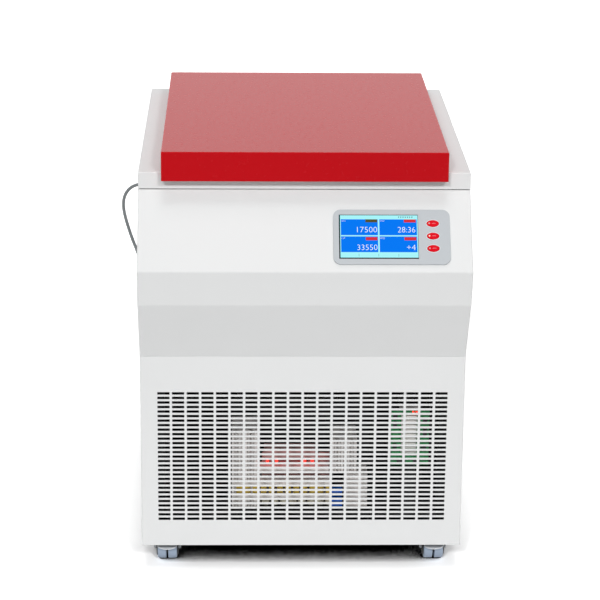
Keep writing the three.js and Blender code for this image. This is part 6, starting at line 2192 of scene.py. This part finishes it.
@dataclass
class Electronics:
    """The motor's converter and the control board behind the slots, and the mains switch."""

    left: float = -149.0
    right: float = 145.0
    front: float = -312.0
    back: float = -190.0
    bottom: float = 120.0
    top: float = 320.0
    tray: float = 8.0
    leg: float = 14.0
    frame_top: float = 76.3
    sinks: tuple[Area, ...] = (((-145.0, -92.0), (120.0, 290.0)), ((62.0, 116.0), (200.0, 270.0)))
    sink_y: Point3 = (-298.0, -290.0, -210.0)
    sink_fins: int = 8
    boards: tuple[Box, ...] = (
        ((-82, 60), (-262, -258), (124, 229)), ((-78, 28), (-300, -262), (229, 249))
    )
    covers: tuple[Box, ...] = (
        ((-88, 57), (-302, -262), (201, 208)), ((-142, 60), (-300, -240), (170, 177)),
        ((-142, 60), (-300, -240), (141, 149)), ((90, 138), (-306, -250), (120, 196)),
    )
    row_x: float = -36.0
    can_y: float = -282.0
    can_radius: float = 8.0
    can_top: float = 139.0
    block: Box = ((-6.0, 6.0), (-303.0, -288.0), (152.0, 168.0))
    lamps: tuple[float, ...] = (-71.0, -52.0, 6.5, 22.5)
    lamp_y: Point3 = (-304.0, -300.0, -262.0)
    lamp_z: float = 225.5
    terminal_x: Span = (64.0, 86.0)
    terminal_y: Span = (-306.0, -280.0)
    terminals: Point3 = (120.3, 131.0, 151.0)
    terminal_height: float = 9.0
    board: Area = ((184.0, 263.0), (225.0, 349.0))
    board_y: float = -325.0
    board_lamps: Profile = ((229.0, 343.0), (236.0, 343.0))
    stand_half: float = 12.0
    relay: Area = ((202.0, 245.0), (250.0, 345.0))
    relay_depth: float = 30.0
    relay_fins: int = 9
    chips: tuple[tuple[float, float, float, float], ...] = (
        (192, 334, 10, 6), (192, 316, 8, 12), (254, 326, 10, 9), (254, 300, 8, 16),
        (192, 268, 9, 10), (252, 262, 12, 8), (206, 236, 18, 7), (238, 236, 14, 7),
    )

    def build(self) -> None:
        """Make the converter, the board and the switch."""
        self.build_converter()
        self.build_board()
        softened("switch_frame", "switch_surround", BLACK_PLASTIC, 0.5)
        softened("power_rocker", "switch_rocker", BLACK_PLASTIC, 0.5, "power_rocker")

    def build_converter(self) -> None:
        """Make the open converter: a tray, two finned heat sinks and the boards between them."""
        left, right, front, back, bottom = self.left, self.right, self.front, self.back, self.bottom
        chassis = Form().box((left, right), (front, back), (bottom - self.tray, bottom))
        for leg in ((left, left + self.leg), (right - self.leg, right)):
            chassis.box(leg, (front, back), (self.frame_top, bottom))
        chassis.box((left, right), (back - 4, back), (bottom, self.top)).soften(0.8, segments=2)
        # The tray is black as painted shade.
        chassis.seat("converter_tray", FRAME_SHADE_BLACK, "motor_converter")
        sinks = Form()
        start, root, stop = self.sink_y
        for (x0, x1), height in self.sinks:
            pitch = (x1 - x0) / self.sink_fins
            for i in range(self.sink_fins):
                sinks.box((x0 + pitch * i, x0 + pitch * (i + 0.8)), (start, root), height)
            sinks.box((x0, x1), (root, stop), height)
        sinks.soften(0.5, segments=1).seat("heat_sinks", COOL_BLOCK)
        Form().boxes(self.boards).seat("power_board", BOARD_BROWN)
        Form().boxes(self.covers).seat("module_covers", COOL_BLOCK)
        height = (bottom, self.can_top)
        can = Form().cylinder((0, self.can_y), self.can_radius, height, steps=24, edge=1.5)
        block = Form().box(*self.block).soften(0.6)
        for name, form, finish, count, pitch in (
            ("capacitor_cans", can, BOARD_CREAM, 11, 19),
            ("terminal_blocks", block, BOARD_GOLD, 12, 17),
        ):
            unit = form.made("unit", finish)
            seated(GRID.make(name, unit, (self.row_x, 0, 0), count, 1, (pitch, 0, 0)))
        blue = Form()
        for z in self.terminals:
            blue.box(self.terminal_x, self.terminal_y, (z, z + self.terminal_height))
        blue.soften(0.8).seat("blue_terminals", BOARD_BLUE)
        lamps = Form()
        tip, foot, board = self.lamp_y
        for x in self.lamps:
            lamps.cylinder((x, self.lamp_z), 3.0, (tip, foot), Axis.Y, 16, 1.0)
            lamps.cylinder((x, self.lamp_z), 1.0, (foot, board), Axis.Y, 8)
        lamps.seat("status_diodes", LAMP_RED)

    def build_board(self) -> None:
        """Make the upright board, its relay block, its components and its stand."""
        x, z = self.board
        (r0, r1), (s0, s1) = self.relay
        y, low = self.board_y, self.frame_top
        board = Form().box(x, (y, y + 3), z).soften(0.4, segments=1)
        board.seat("control_laminate", BOARD, "control_board")
        middle = about(sum(x) / 2, self.stand_half)
        stand = Form().box(middle, (y, y + 3), (low, z[0] + 3))
        stand.box(middle, (y, y + 32), (low, low + 3)).soften(0.5, segments=1)
        # The stand is black as painted shade.
        stand.seat("board_stand", FRAME_SHADE_BLACK)
        relay = Form().box((r0, r1), (y + 1.5, y + self.relay_depth), (s0, s1)).soften(1.5)
        relay.seat("relay_block", COOL_BLOCK)
        fins = Form()
        pitch = (s1 - s0 - 8) / self.relay_fins
        for start in (s0 + 4 + pitch * i for i in range(self.relay_fins)):
            fins.box((r0 + 3, r1 - 8), (y - 5, y + 0.5), (start, start + pitch * 0.62))
        fins.soften(0.5, segments=1).seat("relay_fins", COOL_BLOCK)
        chips = Form()
        for across, up, wide, high in self.chips:
            chips.box(about(across, wide / 2), (y - 3, y + 0.5), about(up, high / 2))
        chips.soften(0.4, segments=1).seat("board_chips", BLACK_PLASTIC)
        lamps = Form()
        for place in self.board_lamps:
            lamps.cylinder(place, 1.8, (y - 3.2, y + 0.5), Axis.Y, 12, 0.6)
        lamps.seat("board_diodes", LAMP_RED)


def main() -> None:
    """Build the studio and the whole centrifuge."""
    logging.basicConfig(level=logging.INFO, format="%(name)s: %(message)s")
    studio = Studio()
    studio.set_camera()
    MainsLead().build()
    studio.light()
    studio.lay_floor()
    for kind in (Cabinet, Lid, Chamber, ControlFace, Casters, Refrigeration, Electronics):
        kind().build()


if __name__ == "__main__":
    main()
